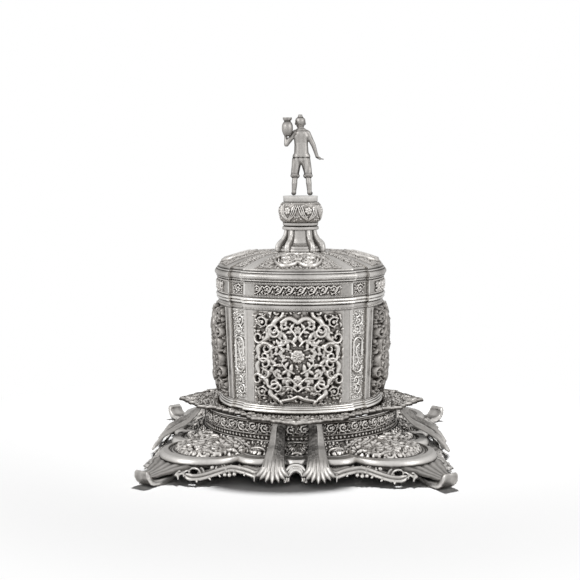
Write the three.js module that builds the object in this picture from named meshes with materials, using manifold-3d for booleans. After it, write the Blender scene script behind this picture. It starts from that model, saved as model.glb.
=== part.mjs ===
// A silver betel box with a lid and an inner tray, on a low pierced stand with four scroll feet.
// Lengths are millimetres, +Z is up, the ground is z = 0 and the front faces -Y.
import * as THREE from "three";
import { mergeVertices } from "three/addons/utils/BufferGeometryUtils.js";
import Module from "manifold-3d";

const wasm = await Module();
wasm.setup();

// Clearance between two pieces that touch
const seat = 0.3;

// Base plate of the stand: the outline is the union of circles round the axis
const baseTop = 25.3;
const baseSheet = 1.5;
const baseHoleRadius = 70;
const cornerLobe = { along: 76, out: 76, radius: 38 };
const sideLobe = { along: 30, out: 90, radius: 21 };
const middleLobe = { along: 0, out: 100, radius: 13 };
const dishDepth = 8.3;
const bandWidth = 9;
const bandCrest = 2;
const bandDrop = 4.5;
const baseSteps = 120;

// Collar that carries the gallery plate
const collarRadius = 84;
const collarWall = 2.5;
const collarHeight = 18.1;
const collarRim = 1;
const collarRimHeight = 2.4;

// Gallery plate under the box
const gallerySheet = 1.5;
const leafTip = 107.7;
const leafShoulder = { along: 20.4, out: 94.8 };
const leafRoot = { along: 37.4, out: 86 };
const galleryHump = { along: 43, out: 72 };
const galleryHole = { along: 29, out: 82, length: 9, width: 3 };

// Struts that flare from the collar over the base plate, two on each side
const strutTopAlong = 17;
const strutEndAlong = 18;
const strutTopWidth = 8;
const strutEndWidth = 23.2;
const strutSheet = 3;
const strutFoot = 134;
const strutFootHeight = 3.2;
const fringeLength = 4;

// Open C-scroll arches between the struts
const archRadius = 4.7;
const archWire = 1.2;
const archReach = 8;
const archDrop = 7;

// Pierced apron outside the border band
const apronReach = 126;
const apronCornerWidth = 11;
const apronSheet = 1.6;
const apronTop = 13.4;
const apronEdge = 5;
const apronEnd = 40;
const apronScallop = 2;
const apronBorder = 2;
const apronHoles = 4;

// Scroll feet on the diagonals
const footWidth = 16;
const footThickness = 5;
const footRoot = 92;
const footCurlHeight = 16;
const frontFootTip = { x: 121, y: -132 };
const backFootTip = { x: 132, y: 131 };

// Lobed plan of the box: four wide arcs with a narrow sunk face at each corner
const lobeHalf = 46;
const lobeDrop = 13.9;
const cornerSink = 2.5;
const cornerNarrowing = 1;
const planHalf = 72.4;
const lobeSteps = 6;

// Box body
const boxSheet = 1.6;
const boxFloor = 2;
const bodyBottomHalf = 68;
const bodyTopHalf = 71;
const bodyHeight = 90.8;
const mouldingHalf = 73.8;
const mouldingHeight = 8;

// Relief panels and corner strips on the body
const panelHalf = 35;
const panelMargin = 4.5;
const panelField = 2.4;
const panelFrame = 4.4;
const panelFrameWidth = 6;
const stripWidth = 15;
const stripSheet = 0.8;
const stripCartouche = 0.8;

// Bezel inside the rim, and the tray that hangs from it
const bezelSheet = 1.5;
const bezelDepth = 9;
const bezelRise = 4.4;
const traySheet = 1.2;
const trayDepth = 26;

// Lid
const skirtHalf = 72.4;
const skirtHeight = 18.1;
const corniceHalf = 74.7;
const corniceInner = 69.5;
const corniceHeight = 8.6;
const roofEaveHalf = 71.5;
const roofTopHalf = 25;
const roofRise = 11.8;
const roofEaveRise = 1.2;
const roofSheet = 1.6;

// Cartouches on the four roof lobes
const cartoucheInner = 31;
const cartoucheOuter = 65;
const cartoucheSpread = 0.72;
const cartoucheField = 1;
const cartoucheRim = 2.2;

// Finial
const neckFoot = 24.7;
const neckRing = 14.6;
const neckHeight = 24.9;
const neckLegs = 8;
const knobRadius = 19.8;
const knobHeight = 17.1;
const drumRadius = 15.2;
const drumHeight = 5;
const studRadius = 3;
const studClearance = 0.4;
const nutRadius = 6;
const nutHeight = 4;

// Standing figure with a jar on its left shoulder
const figureHeight = 70.3;
const jarRadius = 4.85;
const jarHeight = 16;

// Heights that follow from the pieces below
const collarBottom = baseTop + seat;
const collarTop = collarBottom + collarHeight;
const galleryBottom = collarTop + seat;
const galleryTop = galleryBottom + gallerySheet;
const boxBottom = galleryTop + seat;
const bodyTop = boxBottom + bodyHeight;
const lidBottom = bodyTop + seat;
const skirtTop = lidBottom + skirtHeight;
const corniceBottom = skirtTop + seat;
const corniceTop = corniceBottom + corniceHeight;
const roofBottom = corniceTop + seat;
const roofTop = roofBottom + roofRise;
const neckBottom = roofTop + seat;
const neckTop = neckBottom + neckHeight;
const knobBottom = neckTop + seat;
const knobTop = knobBottom + knobHeight;
const drumBottom = knobTop + seat;
const drumTop = drumBottom + drumHeight;
const figureBottom = drumTop + seat;

const lerp = THREE.MathUtils.lerp;
const radians = THREE.MathUtils.degToRad;
const vector = (x, y, z) => new THREE.Vector3(x, y, z);

const finishes = {
  polished: { color: 0xc9c5bd, roughness: 0.22 },
  satin: { color: 0xb3afa7, roughness: 0.38 },
  relief: { color: 0x8f8b84, roughness: 0.45 },
};

const part = new THREE.Group();
part.name = "betel_box";

function addPiece(name, geometry, finish, turn = 0) {
  const material = new THREE.MeshStandardMaterial({ ...finishes[finish], metalness: 1 });
  const mesh = new THREE.Mesh(geometry, material);
  mesh.name = name;
  mesh.rotation.z = turn;
  part.add(mesh);
}

// A copy on each of the four sides, or on each of the four corners
const sideNames = ["front", "right", "back", "left"];
const cornerNames = ["front_right", "back_right", "back_left", "front_left"];

function onFourSides(makeName, geometry, finish) {
  sideNames.forEach((side, i) => addPiece(makeName(side), geometry, finish, (i * Math.PI) / 2));
}

function outward(geometry) {
  const clean = geometry.index ? geometry.toNonIndexed() : geometry;
  clean.deleteAttribute("normal");
  clean.deleteAttribute("uv");
  const p = clean.getAttribute("position");
  const a = new THREE.Vector3();
  const b = new THREE.Vector3();
  const c = new THREE.Vector3();
  let volume = 0;
  for (let i = 0; i < p.count; i += 3) {
    a.fromBufferAttribute(p, i);
    b.fromBufferAttribute(p, i + 1);
    c.fromBufferAttribute(p, i + 2);
    volume += a.dot(b.cross(c));
  }
  if (volume < 0) {
    for (let i = 0; i < p.count; i += 3) {
      a.fromBufferAttribute(p, i + 1);
      b.fromBufferAttribute(p, i + 2);
      p.setXYZ(i + 1, b.x, b.y, b.z);
      p.setXYZ(i + 2, a.x, a.y, a.z);
    }
  }
  const merged = mergeVertices(clean, 1e-3);
  merged.computeVertexNormals();
  return merged;
}

function fromTriangles(points) {
  const geometry = new THREE.BufferGeometry().setFromPoints(points);
  return outward(geometry);
}

// A surface through a row of rings, whose ends meet or are covered
function loft(rings, endsMeet) {
  const points = [];
  const bands = endsMeet ? rings.length : rings.length - 1;
  for (let i = 0; i < bands; i++) {
    const low = rings[i];
    const high = rings[(i + 1) % rings.length];
    low.forEach((corner, j) => {
      const k = (j + 1) % low.length;
      points.push(corner, low[k], high[k], corner, high[k], high[j]);
    });
  }
  if (!endsMeet) {
    coverRing(points, rings[0], true);
    coverRing(points, rings[rings.length - 1], false);
  }
  return fromTriangles(points);
}

function coverRing(points, ring, facesBack) {
  const centre = new THREE.Vector3();
  ring.forEach((p) => centre.addScaledVector(p, 1 / ring.length));
  ring.forEach((p, j) => {
    const next = ring[(j + 1) % ring.length];
    points.push(centre, facesBack ? next : p, facesBack ? p : next);
  });
}

// A sheet between two grids of points with the same rows and columns
function sheet(top, under) {
  const points = [];
  const rows = top.length - 1;
  const columns = top[0].length - 1;
  const quad = (a, b, c, d) => points.push(a, b, c, a, c, d);
  for (let i = 0; i < rows; i++) {
    for (let j = 0; j < columns; j++) {
      quad(top[i][j], top[i][j + 1], top[i + 1][j + 1], top[i + 1][j]);
      quad(under[i][j], under[i + 1][j], under[i + 1][j + 1], under[i][j + 1]);
    }
    quad(top[i][0], top[i + 1][0], under[i + 1][0], under[i][0]);
    quad(top[i + 1][columns], top[i][columns], under[i][columns], under[i + 1][columns]);
  }
  for (let j = 0; j < columns; j++) {
    quad(top[0][j + 1], top[0][j], under[0][j], under[0][j + 1]);
    quad(top[rows][j], top[rows][j + 1], under[rows][j + 1], under[rows][j]);
  }
  return fromTriangles(points);
}

// A solid turned about the axis from a profile of [radius, height] pairs
function turned(profile, steps) {
  const points = profile.map(([r, z]) => new THREE.Vector2(r, z));
  const geometry = new THREE.LatheGeometry(points, steps);
  geometry.rotateX(Math.PI / 2);
  return outward(geometry);
}

// A ring of [radius, height] pairs round a stud hole
function turnedOnStud(profile, steps) {
  const hole = studRadius + studClearance;
  const low = profile[0][1];
  const high = profile[profile.length - 1][1];
  return turned([[hole, low], ...profile, [hole, high], [hole, low]], steps);
}

// The lobed plan for a half-width, grown outwards all round by an offset
const lobeRadius = (lobeHalf ** 2 + lobeDrop ** 2) / (2 * lobeDrop);
const lobeAngle = Math.asin(lobeHalf / lobeRadius);

function lobePoint(half, share) {
  const radius = (lobeRadius * half) / planHalf;
  const angle = share * lobeAngle;
  return [radius * Math.sin(angle), half - radius * (1 - Math.cos(angle))];
}

function outline(half, offset, height) {
  const scale = half / planHalf;
  const centre = half - lobeRadius * scale;
  const radius = lobeRadius * scale + offset;
  // The step beside a corner face is a line along the diagonal, where out - along is this
  const step = (planHalf - lobeDrop - lobeHalf) * scale - Math.min(offset, cornerNarrowing) * Math.SQRT2;
  // The corner face is square to the diagonal, where out + along is this
  const face = (planHalf - lobeDrop + lobeHalf - cornerSink * Math.SQRT2) * scale + offset * Math.SQRT2;
  const shift = step - centre;
  const end = (Math.sqrt(2 * radius ** 2 - shift ** 2) - shift) / 2;
  const endAngle = Math.asin(end / radius);
  const up = vector(0, 0, 1);
  const ring = [];
  for (let side = 0; side < 4; side++) {
    const turn = (side * Math.PI) / 2;
    const add = (along, out) => ring.push(vector(along, -out, height).applyAxisAngle(up, turn));
    add(-(face - step) / 2, (face + step) / 2);
    for (let i = 0; i <= lobeSteps; i++) {
      const angle = endAngle * ((2 * i) / lobeSteps - 1);
      add(radius * Math.sin(angle), centre + radius * Math.cos(angle));
    }
    add((face - step) / 2, (face + step) / 2);
  }
  return ring;
}

// A profile of [half-width, offset, height] stations carried round the plan
function swept(profile, endsMeet) {
  return loft(
    profile.map((station) => outline(...station)),
    endsMeet,
  );
}

// Distance from the axis to the far side of a circle, along a ray
function reachOf({ along, out, radius }, angle) {
  const distance = Math.hypot(along, out);
  const offset = angle - Math.atan2(along, out);
  const inside = radius ** 2 - (distance * Math.sin(offset)) ** 2;
  if (inside < 0 || Math.cos(offset) < 0) return 0;
  return distance * Math.cos(offset) + Math.sqrt(inside);
}

// Outline of the base plate, for an angle from the middle of a side
function baseReach(angle) {
  const quarter = Math.PI / 2;
  const turns = Math.round(angle / quarter);
  const local = Math.abs(angle - turns * quarter);
  return Math.max(...[cornerLobe, sideLobe, middleLobe].map((lobe) => reachOf(lobe, local)));
}

// The plate's edge runs straight between the outline's points
const baseStep = (2 * Math.PI) / baseSteps;

function plateEdge(angle) {
  const before = Math.floor(angle / baseStep + 1e-6) * baseStep;
  const after = before + baseStep;
  const low = baseReach(before);
  const high = baseReach(after);
  return (
    (low * high * Math.sin(baseStep)) / (low * Math.sin(angle - before) + high * Math.sin(after - angle))
  );
}

const dishStart = collarRadius + 2;

function makeBasePlate() {
  const dishBottom = baseTop - dishDepth;
  const rings = [];
  for (let i = 0; i < baseSteps; i++) {
    const angle = i * baseStep;
    const reach = baseReach(angle);
    const profile = [
      [baseHoleRadius, baseTop],
      [dishStart, baseTop],
      [reach - bandWidth, dishBottom],
      [reach - bandWidth / 2, dishBottom + bandCrest],
      [reach - 1, dishBottom],
      [reach, dishBottom - bandDrop + 2],
      [reach - 1.5, dishBottom - bandDrop + 0.7],
      [reach - bandWidth, dishBottom - baseSheet],
      [dishStart, baseTop - baseSheet],
      [baseHoleRadius, baseTop - baseSheet],
    ];
    rings.push(profile.map(([r, z]) => vector(r * Math.sin(angle), -r * Math.cos(angle), z)));
  }
  return loft(rings, true);
}

function makeCollar() {
  const inner = collarRadius - collarWall;
  const rim = collarRadius + collarRim;
  return turned(
    [
      [inner, collarBottom],
      [rim, collarBottom],
      [rim, collarBottom + collarRimHeight],
      [collarRadius, collarBottom + collarRimHeight + 0.6],
      [collarRadius, collarTop - collarRimHeight - 0.6],
      [rim, collarTop - collarRimHeight],
      [rim, collarTop],
      [inner, collarTop],
      [inner, collarBottom],
    ],
    48,
  );
}

// An extruded plate from a plan, with its underside at a height
function plate(shape, thickness, height) {
  const options = { depth: thickness, bevelEnabled: false, curveSegments: 4 };
  const geometry = new THREE.ExtrudeGeometry(shape, options);
  geometry.translate(0, 0, height);
  return outward(geometry);
}

const turnedPoint = ([along, out], side) =>
  new THREE.Vector2(along, -out).rotateAround(new THREE.Vector2(), (side * Math.PI) / 2);

function makeGalleryPlate() {
  const half = [
    [galleryHump.along, galleryHump.out],
    [leafRoot.along, leafRoot.out],
    [(leafRoot.along + leafShoulder.along) / 2, (leafRoot.out + leafShoulder.out) / 2 - 1.5],
    [leafShoulder.along, leafShoulder.out],
    [leafShoulder.along / 2, lerp(leafShoulder.out, leafTip, 0.42)],
  ];
  const side = [
    ...half.map(([along, out]) => [-along, out]),
    [0, leafTip],
    ...half.toReversed(),
    [galleryHump.along + 12, galleryHump.out - 12],
  ];
  const shape = new THREE.Shape(
    [0, 1, 2, 3].flatMap((turn) => side.map((point) => turnedPoint(point, turn))),
  );
  for (let turn = 0; turn < 4; turn++) {
    for (const hand of [-1, 1]) {
      const hole = new THREE.Path();
      const middle = turnedPoint([hand * galleryHole.along, galleryHole.out], turn);
      const lean = (turn * Math.PI) / 2 - hand * 0.25;
      hole.absellipse(
        middle.x, middle.y, galleryHole.length / 2, galleryHole.width / 2, 0, 2 * Math.PI, true, -lean,
      );
      shape.holes.push(hole);
    }
  }
  return plate(shape, gallerySheet, galleryBottom);
}

// The strut's underside as [out, height] pairs, from the collar to the fringe
function strutRoute() {
  const wall = collarRadius + collarRim + seat;
  const crest = baseTop - dishDepth + bandCrest;
  return [
    [wall, collarTop],
    [wall, lerp(baseTop, collarTop, 0.5)],
    [wall + 2, baseTop + 3],
    [wall + 8, baseTop - 0.4],
    [sideLobe.out + 10, crest + 1.6],
    [sideLobe.out + 19, crest + seat + 0.2],
    [sideLobe.out + sideLobe.radius + 5, crest - 3],
    [lerp(sideLobe.out + sideLobe.radius, strutFoot, 0.62), crest - 9.5],
    [strutFoot, strutFootHeight],
  ];
}

function makeStrut(hand) {
  const route = strutRoute();
  const columns = 6;
  const top = [];
  const under = [];
  route.forEach(([out, height], i) => {
    const share = i / (route.length - 1);
    const spread = share ** 1.4;
    const middle = lerp(strutTopAlong, strutEndAlong, share);
    const width = lerp(strutTopWidth, strutEndWidth, spread);
    const before = route[Math.max(i - 1, 0)];
    const after = route[Math.min(i + 1, route.length - 1)];
    const length = Math.hypot(after[0] - before[0], after[1] - before[1]);
    const lift = [-(after[1] - before[1]) / length, (after[0] - before[0]) / length];
    const topRow = [];
    const underRow = [];
    for (let j = 0; j <= columns; j++) {
      const across = j / columns - 0.5;
      const along = hand * (middle + across * width);
      const finger = share === 1 && j % 2 === 1 ? fringeLength : 0;
      const trimmed = out - finger - (share === 1 ? Math.abs(across) * fringeLength : 0);
      const crown = strutSheet * (1 - 1.2 * across * across);
      underRow.push(vector(along, -trimmed, height));
      topRow.push(vector(along, -(trimmed + lift[0] * crown), height + lift[1] * crown));
    }
    top.push(topRow);
    under.push(underRow);
  });
  return sheet(top, under);
}

// A round wire along a route, with covered ends
function wire(route, radius, sides) {
  const curve = new THREE.CatmullRomCurve3(route);
  const steps = route.length + 1;
  const frames = curve.computeFrenetFrames(steps, false);
  const rings = [];
  for (let i = 0; i <= steps; i++) {
    const centre = curve.getPoint(i / steps);
    const ring = [];
    for (let j = 0; j < sides; j++) {
      const angle = (j / sides) * 2 * Math.PI;
      ring.push(
        centre
          .clone()
          .addScaledVector(frames.normals[i], radius * Math.cos(angle))
          .addScaledVector(frames.binormals[i], radius * Math.sin(angle)),
      );
    }
    rings.push(ring);
  }
  return loft(rings, false);
}

function makeArch() {
  const out = middleLobe.out + middleLobe.radius + seat + archWire;
  const route = [0, 0.2, 0.4, 0.5, 0.6, 0.8, 1].map((share) => {
    const angle = Math.PI * share;
    const fall = 1 - Math.sin(angle);
    return vector(
      archRadius * Math.cos(angle),
      -(out + fall * archReach),
      apronTop - fall * archDrop,
    );
  });
  return wire(route, archWire, 6);
}

// The apron lies outside the border band, between a strut and a foot
function makeApron(hand) {
  const start = strutEndAlong + strutEndWidth / 2 + seat + 0.1;
  const startAngle = Math.atan2(start, sideLobe.out + sideLobe.radius);
  const endAngle = radians(apronEnd);
  const inner = (angle) => plateEdge(angle) + seat + 0.3;
  const outer = (angle) => {
    const reach = Math.min(apronReach / Math.cos(angle), baseReach(angle) + apronCornerWidth + 4);
    return Math.max(reach, inner(angle) + apronCornerWidth - 2);
  };
  const polar = (r, angle) => {
    const along = Math.max(r * Math.sin(angle), start);
    return new THREE.Vector2(-along, -r * Math.cos(angle));
  };
  const angles = [startAngle];
  for (let i = Math.ceil(startAngle / baseStep); i * baseStep < endAngle; i++) {
    angles.push(i * baseStep);
  }
  angles.push(endAngle);
  const points = angles.map((angle) => polar(inner(angle), angle));
  angles.toReversed().forEach((angle, i) => {
    points.push(polar(outer(angle) - (i % 2) * apronScallop, angle));
  });
  const shape = new THREE.Shape(points);
  for (let i = 0; i < apronHoles; i++) {
    const middle = lerp(startAngle, endAngle, (i + 0.7) / (apronHoles + 0.4));
    const halfAngle = ((endAngle - startAngle) / apronHoles) * 0.28;
    const across = [-1, -0.5, 0, 0.5, 1].map((share) => middle + share * halfAngle);
    const low = Math.max(...across.map(inner)) + apronBorder;
    const high = Math.min(...across.map(outer)) - apronScallop - apronBorder;
    if (high - low < apronBorder) continue;
    const corners = [
      polar(low, across[0]),
      polar(low, across[4]),
      polar(high, across[3]),
      polar(high, across[1]),
    ];
    shape.holes.push(new THREE.Path(corners));
  }
  const geometry = new THREE.ExtrudeGeometry(shape, { depth: apronSheet, bevelEnabled: false });
  const position = geometry.getAttribute("position");
  for (let i = 0; i < position.count; i++) {
    const x = position.getX(i);
    const y = position.getY(i);
    const angle = Math.atan2(Math.abs(x), -y);
    const share = (Math.hypot(x, y) - inner(angle)) / (outer(angle) - inner(angle));
    position.setZ(i, position.getZ(i) + lerp(apronTop, apronEdge, share) - apronSheet / 2);
  }
  geometry.scale(-hand, 1, 1);
  return outward(geometry);
}

// A strap through [share, underside, top] stations from the root to the curled tip
function makeFoot(tipX, tipY) {
  const root = new THREE.Vector2(Math.sign(tipX), Math.sign(tipY)).multiplyScalar(footRoot);
  const tip = new THREE.Vector2(tipX, tipY);
  const across = tip.clone().sub(root).normalize();
  const sideways = new THREE.Vector2(-across.y, across.x);
  // The dish falls in a straight line from the collar to the border band
  const dishEnd = baseReach(Math.PI / 4) - bandWidth;
  const share = (footRoot * Math.SQRT2 + 2 - dishStart) / (dishEnd - dishStart);
  const rootTop = baseTop - baseSheet - dishDepth * Math.min(share, 1) - seat;
  const length = root.distanceTo(tip);
  const stations = [
    [0, rootTop - footThickness, rootTop],
    [0.1, rootTop - footThickness - 1, rootTop - 1],
    [0.3, 1.5, footThickness + 5],
    [0.45, 0, footThickness + 1],
    [0.82, 0, footThickness],
    [0.93, 3, footThickness + 6],
    [0.99, 7.5, footCurlHeight],
    [1, 9, footCurlHeight],
  ];
  const rings = stations.map(([along, low, high]) => {
    const centre = root.clone().addScaledVector(across, along * length);
    const half = lerp(footWidth / 2 - 1, footWidth / 2, along);
    const left = centre.clone().addScaledVector(sideways, half);
    const right = centre.clone().addScaledVector(sideways, -half);
    return [
      vector(left.x, left.y, low),
      vector(right.x, right.y, low),
      vector(right.x, right.y, high),
      vector(left.x, left.y, high),
    ];
  });
  return loft(rings, false);
}

// The body tapers from its rim to its foot
const bodyHalfAt = (height) =>
  lerp(bodyBottomHalf, bodyTopHalf, (height - boxBottom) / (bodyTop - boxBottom));

function makeBoxWall() {
  const floorTop = boxBottom + boxFloor;
  return swept(
    [
      [bodyHalfAt(boxBottom), 0, boxBottom],
      [bodyHalfAt(bodyTop), 0, bodyTop],
      [bodyHalfAt(bodyTop), -boxSheet, bodyTop],
      [bodyHalfAt(floorTop), -boxSheet, floorTop],
    ],
    false,
  );
}

function makeBaseMoulding() {
  const half = bodyHalfAt(boxBottom + mouldingHeight);
  const reach = mouldingHalf - half;
  const step = (reach - seat) / 3;
  const rise = mouldingHeight / 4;
  return swept(
    [
      [half, seat, boxBottom],
      [half, reach, boxBottom],
      [half, reach, boxBottom + 1.4 * rise],
      [half, reach - step, boxBottom + 1.8 * rise],
      [half, reach - step, boxBottom + 2.8 * rise],
      [half, reach - 2 * step, boxBottom + 3.2 * rise],
      [half, reach - 2 * step, boxBottom + mouldingHeight],
      [half, seat, boxBottom + mouldingHeight],
    ],
    true,
  );
}

// The front side's panel: a raised frame round a low field of scrolls
function makePanel() {
  const low = boxBottom + mouldingHeight + panelMargin;
  const high = bodyTop - panelMargin - 1;
  const rows = 8;
  const columns = 6;
  const top = [];
  const under = [];
  for (let i = 0; i <= rows; i++) {
    const height = lerp(low, high, i / rows);
    const half = bodyHalfAt(height);
    const share = panelHalf / ((lobeHalf * half) / planHalf);
    const topRow = [];
    const underRow = [];
    for (let j = 0; j <= columns; j++) {
      const across = (2 * j) / columns - 1;
      const [along, out] = lobePoint(half, Math.asin(share * Math.sin(lobeAngle) * across) / lobeAngle);
      const normal = new THREE.Vector2(along, out - half + (lobeRadius * half) / planHalf).normalize();
      const edge = Math.min(
        panelHalf * (1 - Math.abs(across)),
        height - low,
        high - height,
      );
      const isEdge = edge < 0.1;
      const isFrame = edge < panelFrameWidth + 3;
      const swell = (i + j) % 2 === 0 ? 1.2 : 0;
      const relief = isEdge ? panelField / 2 : isFrame ? panelFrame : panelField + swell;
      underRow.push(vector(along + normal.x * seat, -(out + normal.y * seat), height));
      topRow.push(
        vector(along + normal.x * (seat + relief), -(out + normal.y * (seat + relief)), height),
      );
    }
    top.push(topRow);
    under.push(underRow);
  }
  return sheet(top, under);
}

const cornerFaceDistance = (half) =>
  ((planHalf - lobeDrop + lobeHalf) / Math.SQRT2 - cornerSink) * (half / planHalf);

// The front right corner's strip, with a long raised cartouche in the middle
function makeCornerStrip() {
  const low = boxBottom + mouldingHeight + panelMargin;
  const high = bodyTop - panelMargin - 1;
  const rows = 8;
  const offsets = [-0.5, -0.22, 0.22, 0.5];
  const top = [];
  const under = [];
  const normal = vector(Math.SQRT1_2, -Math.SQRT1_2, 0);
  const sideways = vector(Math.SQRT1_2, Math.SQRT1_2, 0);
  for (let i = 0; i <= rows; i++) {
    const height = lerp(low, high, i / rows);
    const distance = cornerFaceDistance(bodyHalfAt(height)) + seat;
    const middle = vector(0, 0, height).addScaledVector(normal, distance);
    const isCartouche = i >= 2 && i <= rows - 2;
    const points = offsets.map((offset) => middle.clone().addScaledVector(sideways, offset * stripWidth));
    under.push(points);
    top.push(
      points.map((point, j) => {
        const raised = isCartouche && (j === 1 || j === 2) ? stripCartouche : 0;
        return point.clone().addScaledVector(normal, stripSheet + raised);
      }),
    );
  }
  return sheet(top, under);
}

const bezelOffset = -(boxSheet + seat);
const bezelBottom = bodyTop - bezelDepth;
const bezelTop = bodyTop + bezelRise;

function makeBezel() {
  return swept(
    [
      [bodyHalfAt(bezelBottom), bezelOffset - bezelSheet, bezelBottom],
      [bodyHalfAt(bezelBottom), bezelOffset, bezelBottom],
      [bodyHalfAt(bodyTop), bezelOffset, bodyTop],
      [bodyHalfAt(bodyTop), bezelOffset, bezelTop],
      [bodyHalfAt(bodyTop), bezelOffset - bezelSheet, bezelTop],
      [bodyHalfAt(bodyTop), bezelOffset - bezelSheet, bodyTop],
    ],
    true,
  );
}

// The tray drops inside the bezel and hangs from its rim by a flange
function makeTray() {
  const trayOffset = bezelOffset - bezelSheet - seat;
  const flange = bezelTop + seat;
  const floor = flange - trayDepth;
  const half = bodyHalfAt(floor);
  return swept(
    [
      [half, trayOffset, floor],
      [half, trayOffset, flange],
      [bodyTopHalf, bezelOffset, flange],
      [bodyTopHalf, bezelOffset, flange + traySheet],
      [half, trayOffset - traySheet, flange + traySheet],
      [half, trayOffset - traySheet, floor + traySheet],
    ],
    false,
  );
}

function makeLidSkirt() {
  return swept(
    [
      [skirtHalf, -boxSheet, lidBottom],
      [skirtHalf, 0, lidBottom],
      [skirtHalf, 0.8, lidBottom + 1.4],
      [skirtHalf, 0, lidBottom + 2.8],
      [skirtHalf, 0.6, lidBottom + 4.2],
      [skirtHalf, -0.3, lidBottom + 5.6],
      [skirtHalf, -0.3, skirtTop - 1],
      [skirtHalf, 0, skirtTop],
      [skirtHalf, -boxSheet, skirtTop],
    ],
    true,
  );
}

function makeCornice() {
  const reach = corniceHalf - corniceInner;
  return swept(
    [
      [corniceInner, 0, corniceBottom],
      [corniceInner, 0.4 * reach, corniceBottom],
      [corniceInner, 0.75 * reach, corniceBottom + 0.22 * corniceHeight],
      [corniceInner, reach, corniceBottom + 0.55 * corniceHeight],
      [corniceInner, 0.75 * reach, corniceBottom + 0.85 * corniceHeight],
      [corniceInner, 0.45 * reach, corniceTop],
      [corniceInner, 0, corniceTop],
    ],
    true,
  );
}

// Height of the roof over the plan, domed towards the neck
function roofHeight(half) {
  const share = (roofEaveHalf - half) / (roofEaveHalf - roofTopHalf);
  return roofBottom + roofEaveRise + (roofRise - roofEaveRise) * Math.sin((share * Math.PI) / 2) ** 0.85;
}

function makeRoof() {
  const hole = studRadius + 2 * studClearance;
  const halves = [1, 0.8, 0.55, 0.28, 0].map((share) => lerp(roofTopHalf, roofEaveHalf - 0.5, share));
  const outside = halves.map((half) => [half, 0, roofHeight(half)]);
  const inside = halves.toReversed().map((half) => [half, -1, roofHeight(half) - roofSheet]);
  return swept(
    [
      [roofEaveHalf, 0, roofBottom],
      ...outside,
      [hole, 0, roofTop],
      [hole, 0, roofTop - roofSheet],
      ...inside.slice(0, -1),
      [roofEaveHalf, -roofSheet, roofBottom],
    ],
    true,
  );
}

function makeCartouche() {
  const rows = 5;
  const columns = 6;
  const top = [];
  const under = [];
  for (let i = 0; i <= rows; i++) {
    const half = lerp(cartoucheInner, cartoucheOuter, i / rows);
    const topRow = [];
    const underRow = [];
    for (let j = 0; j <= columns; j++) {
      const across = (2 * j) / columns - 1;
      const bow = 1 - 0.16 * across * across;
      const spread = cartoucheSpread * (i === 0 ? 0.7 : 1);
      const [along, out] = lobePoint(half * bow, spread * across);
      const height = roofHeight(half * bow) + seat + 0.25;
      const isEdge = i === 0 || i === rows || j === 0 || j === columns;
      const isRim = i === 1 || i === rows - 1 || j === 1 || j === columns - 1;
      const relief = isEdge ? cartoucheField : isRim ? cartoucheRim : cartoucheField + 0.4;
      underRow.push(vector(along, -out, height));
      topRow.push(vector(along, -out, height + relief));
    }
    top.push(topRow);
    under.push(underRow);
  }
  return sheet(top, under);
}

// The neck has legs that flare into scroll feet, with hollows between them
function makeNeck() {
  const hole = studRadius + studClearance;
  const steps = 4 * neckLegs;
  const profile = [
    [neckFoot, 0, 1],
    [neckFoot, 0.1, 1],
    [lerp(neckRing, neckFoot, 0.55), 0.3, 0.8],
    [lerp(neckRing, neckFoot, 0.15), 0.6, 0.4],
    [neckRing - 1, 0.78, 0.1],
    [neckRing, 0.82, 0],
    [neckRing - 1, 0.88, 0],
    [neckRing + 1.5, 1, 0],
    [hole, 1, 0],
    [hole, 0, 0],
  ];
  const rings = profile.map(([radius, share, flute]) => {
    const ring = [];
    for (let i = 0; i < steps; i++) {
      const angle = (i / steps) * 2 * Math.PI;
      const hollow = 1 - 0.09 * flute * (1 - Math.cos(neckLegs * angle));
      const r = radius * hollow;
      ring.push(vector(r * Math.cos(angle), r * Math.sin(angle), neckBottom + share * neckHeight));
    }
    return ring;
  });
  return loft(rings, true);
}

function makeKnob() {
  const shares = [0, 0.08, 0.25, 0.5, 0.75, 0.92, 1];
  const profile = shares.map((share) => {
    const swell = Math.sqrt(Math.max(0, 1 - (2 * share - 1) ** 2));
    return [lerp(neckRing - 1, knobRadius, swell), knobBottom + share * knobHeight];
  });
  return turnedOnStud(profile, 24);
}

const studTop = drumTop - 1.5;

function makeDrum() {
  const hole = studRadius + studClearance;
  return turned(
    [
      [0, studTop + seat],
      [hole, studTop + seat],
      [hole, drumBottom],
      [drumRadius, drumBottom],
      [drumRadius, drumBottom + 0.5 * drumHeight],
      [drumRadius - 1, drumBottom + 0.6 * drumHeight],
      [drumRadius - 0.4, drumTop],
      [0, drumTop],
    ],
    24,
  );
}

const nutTop = roofTop - roofSheet - seat;

function makeStud() {
  const low = nutTop - nutHeight - 1;
  return turned(
    [
      [0, low],
      [studRadius, low],
      [studRadius, studTop],
      [0, studTop],
    ],
    12,
  );
}

function makeNut() {
  const sides = 6;
  const hole = (studRadius + studClearance) / Math.cos(Math.PI / sides);
  return turned(
    [
      [hole, nutTop - nutHeight],
      [nutRadius, nutTop - nutHeight],
      [nutRadius, nutTop],
      [hole, nutTop],
      [hole, nutTop - nutHeight],
    ],
    sides,
  );
}

function solid(geometry) {
  const clean = outward(geometry);
  return new wasm.Manifold(
    new wasm.Mesh({
      numProp: 3,
      vertProperties: new Float32Array(clean.getAttribute("position").array),
      triVerts: new Uint32Array(clean.index.array),
    }),
  );
}

function geometryOf(body) {
  const mesh = body.getMesh();
  const geometry = new THREE.BufferGeometry();
  geometry.setAttribute("position", new THREE.BufferAttribute(new Float32Array(mesh.vertProperties), 3));
  geometry.setIndex(new THREE.BufferAttribute(new Uint32Array(mesh.triVerts), 1));
  return outward(geometry);
}

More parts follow.
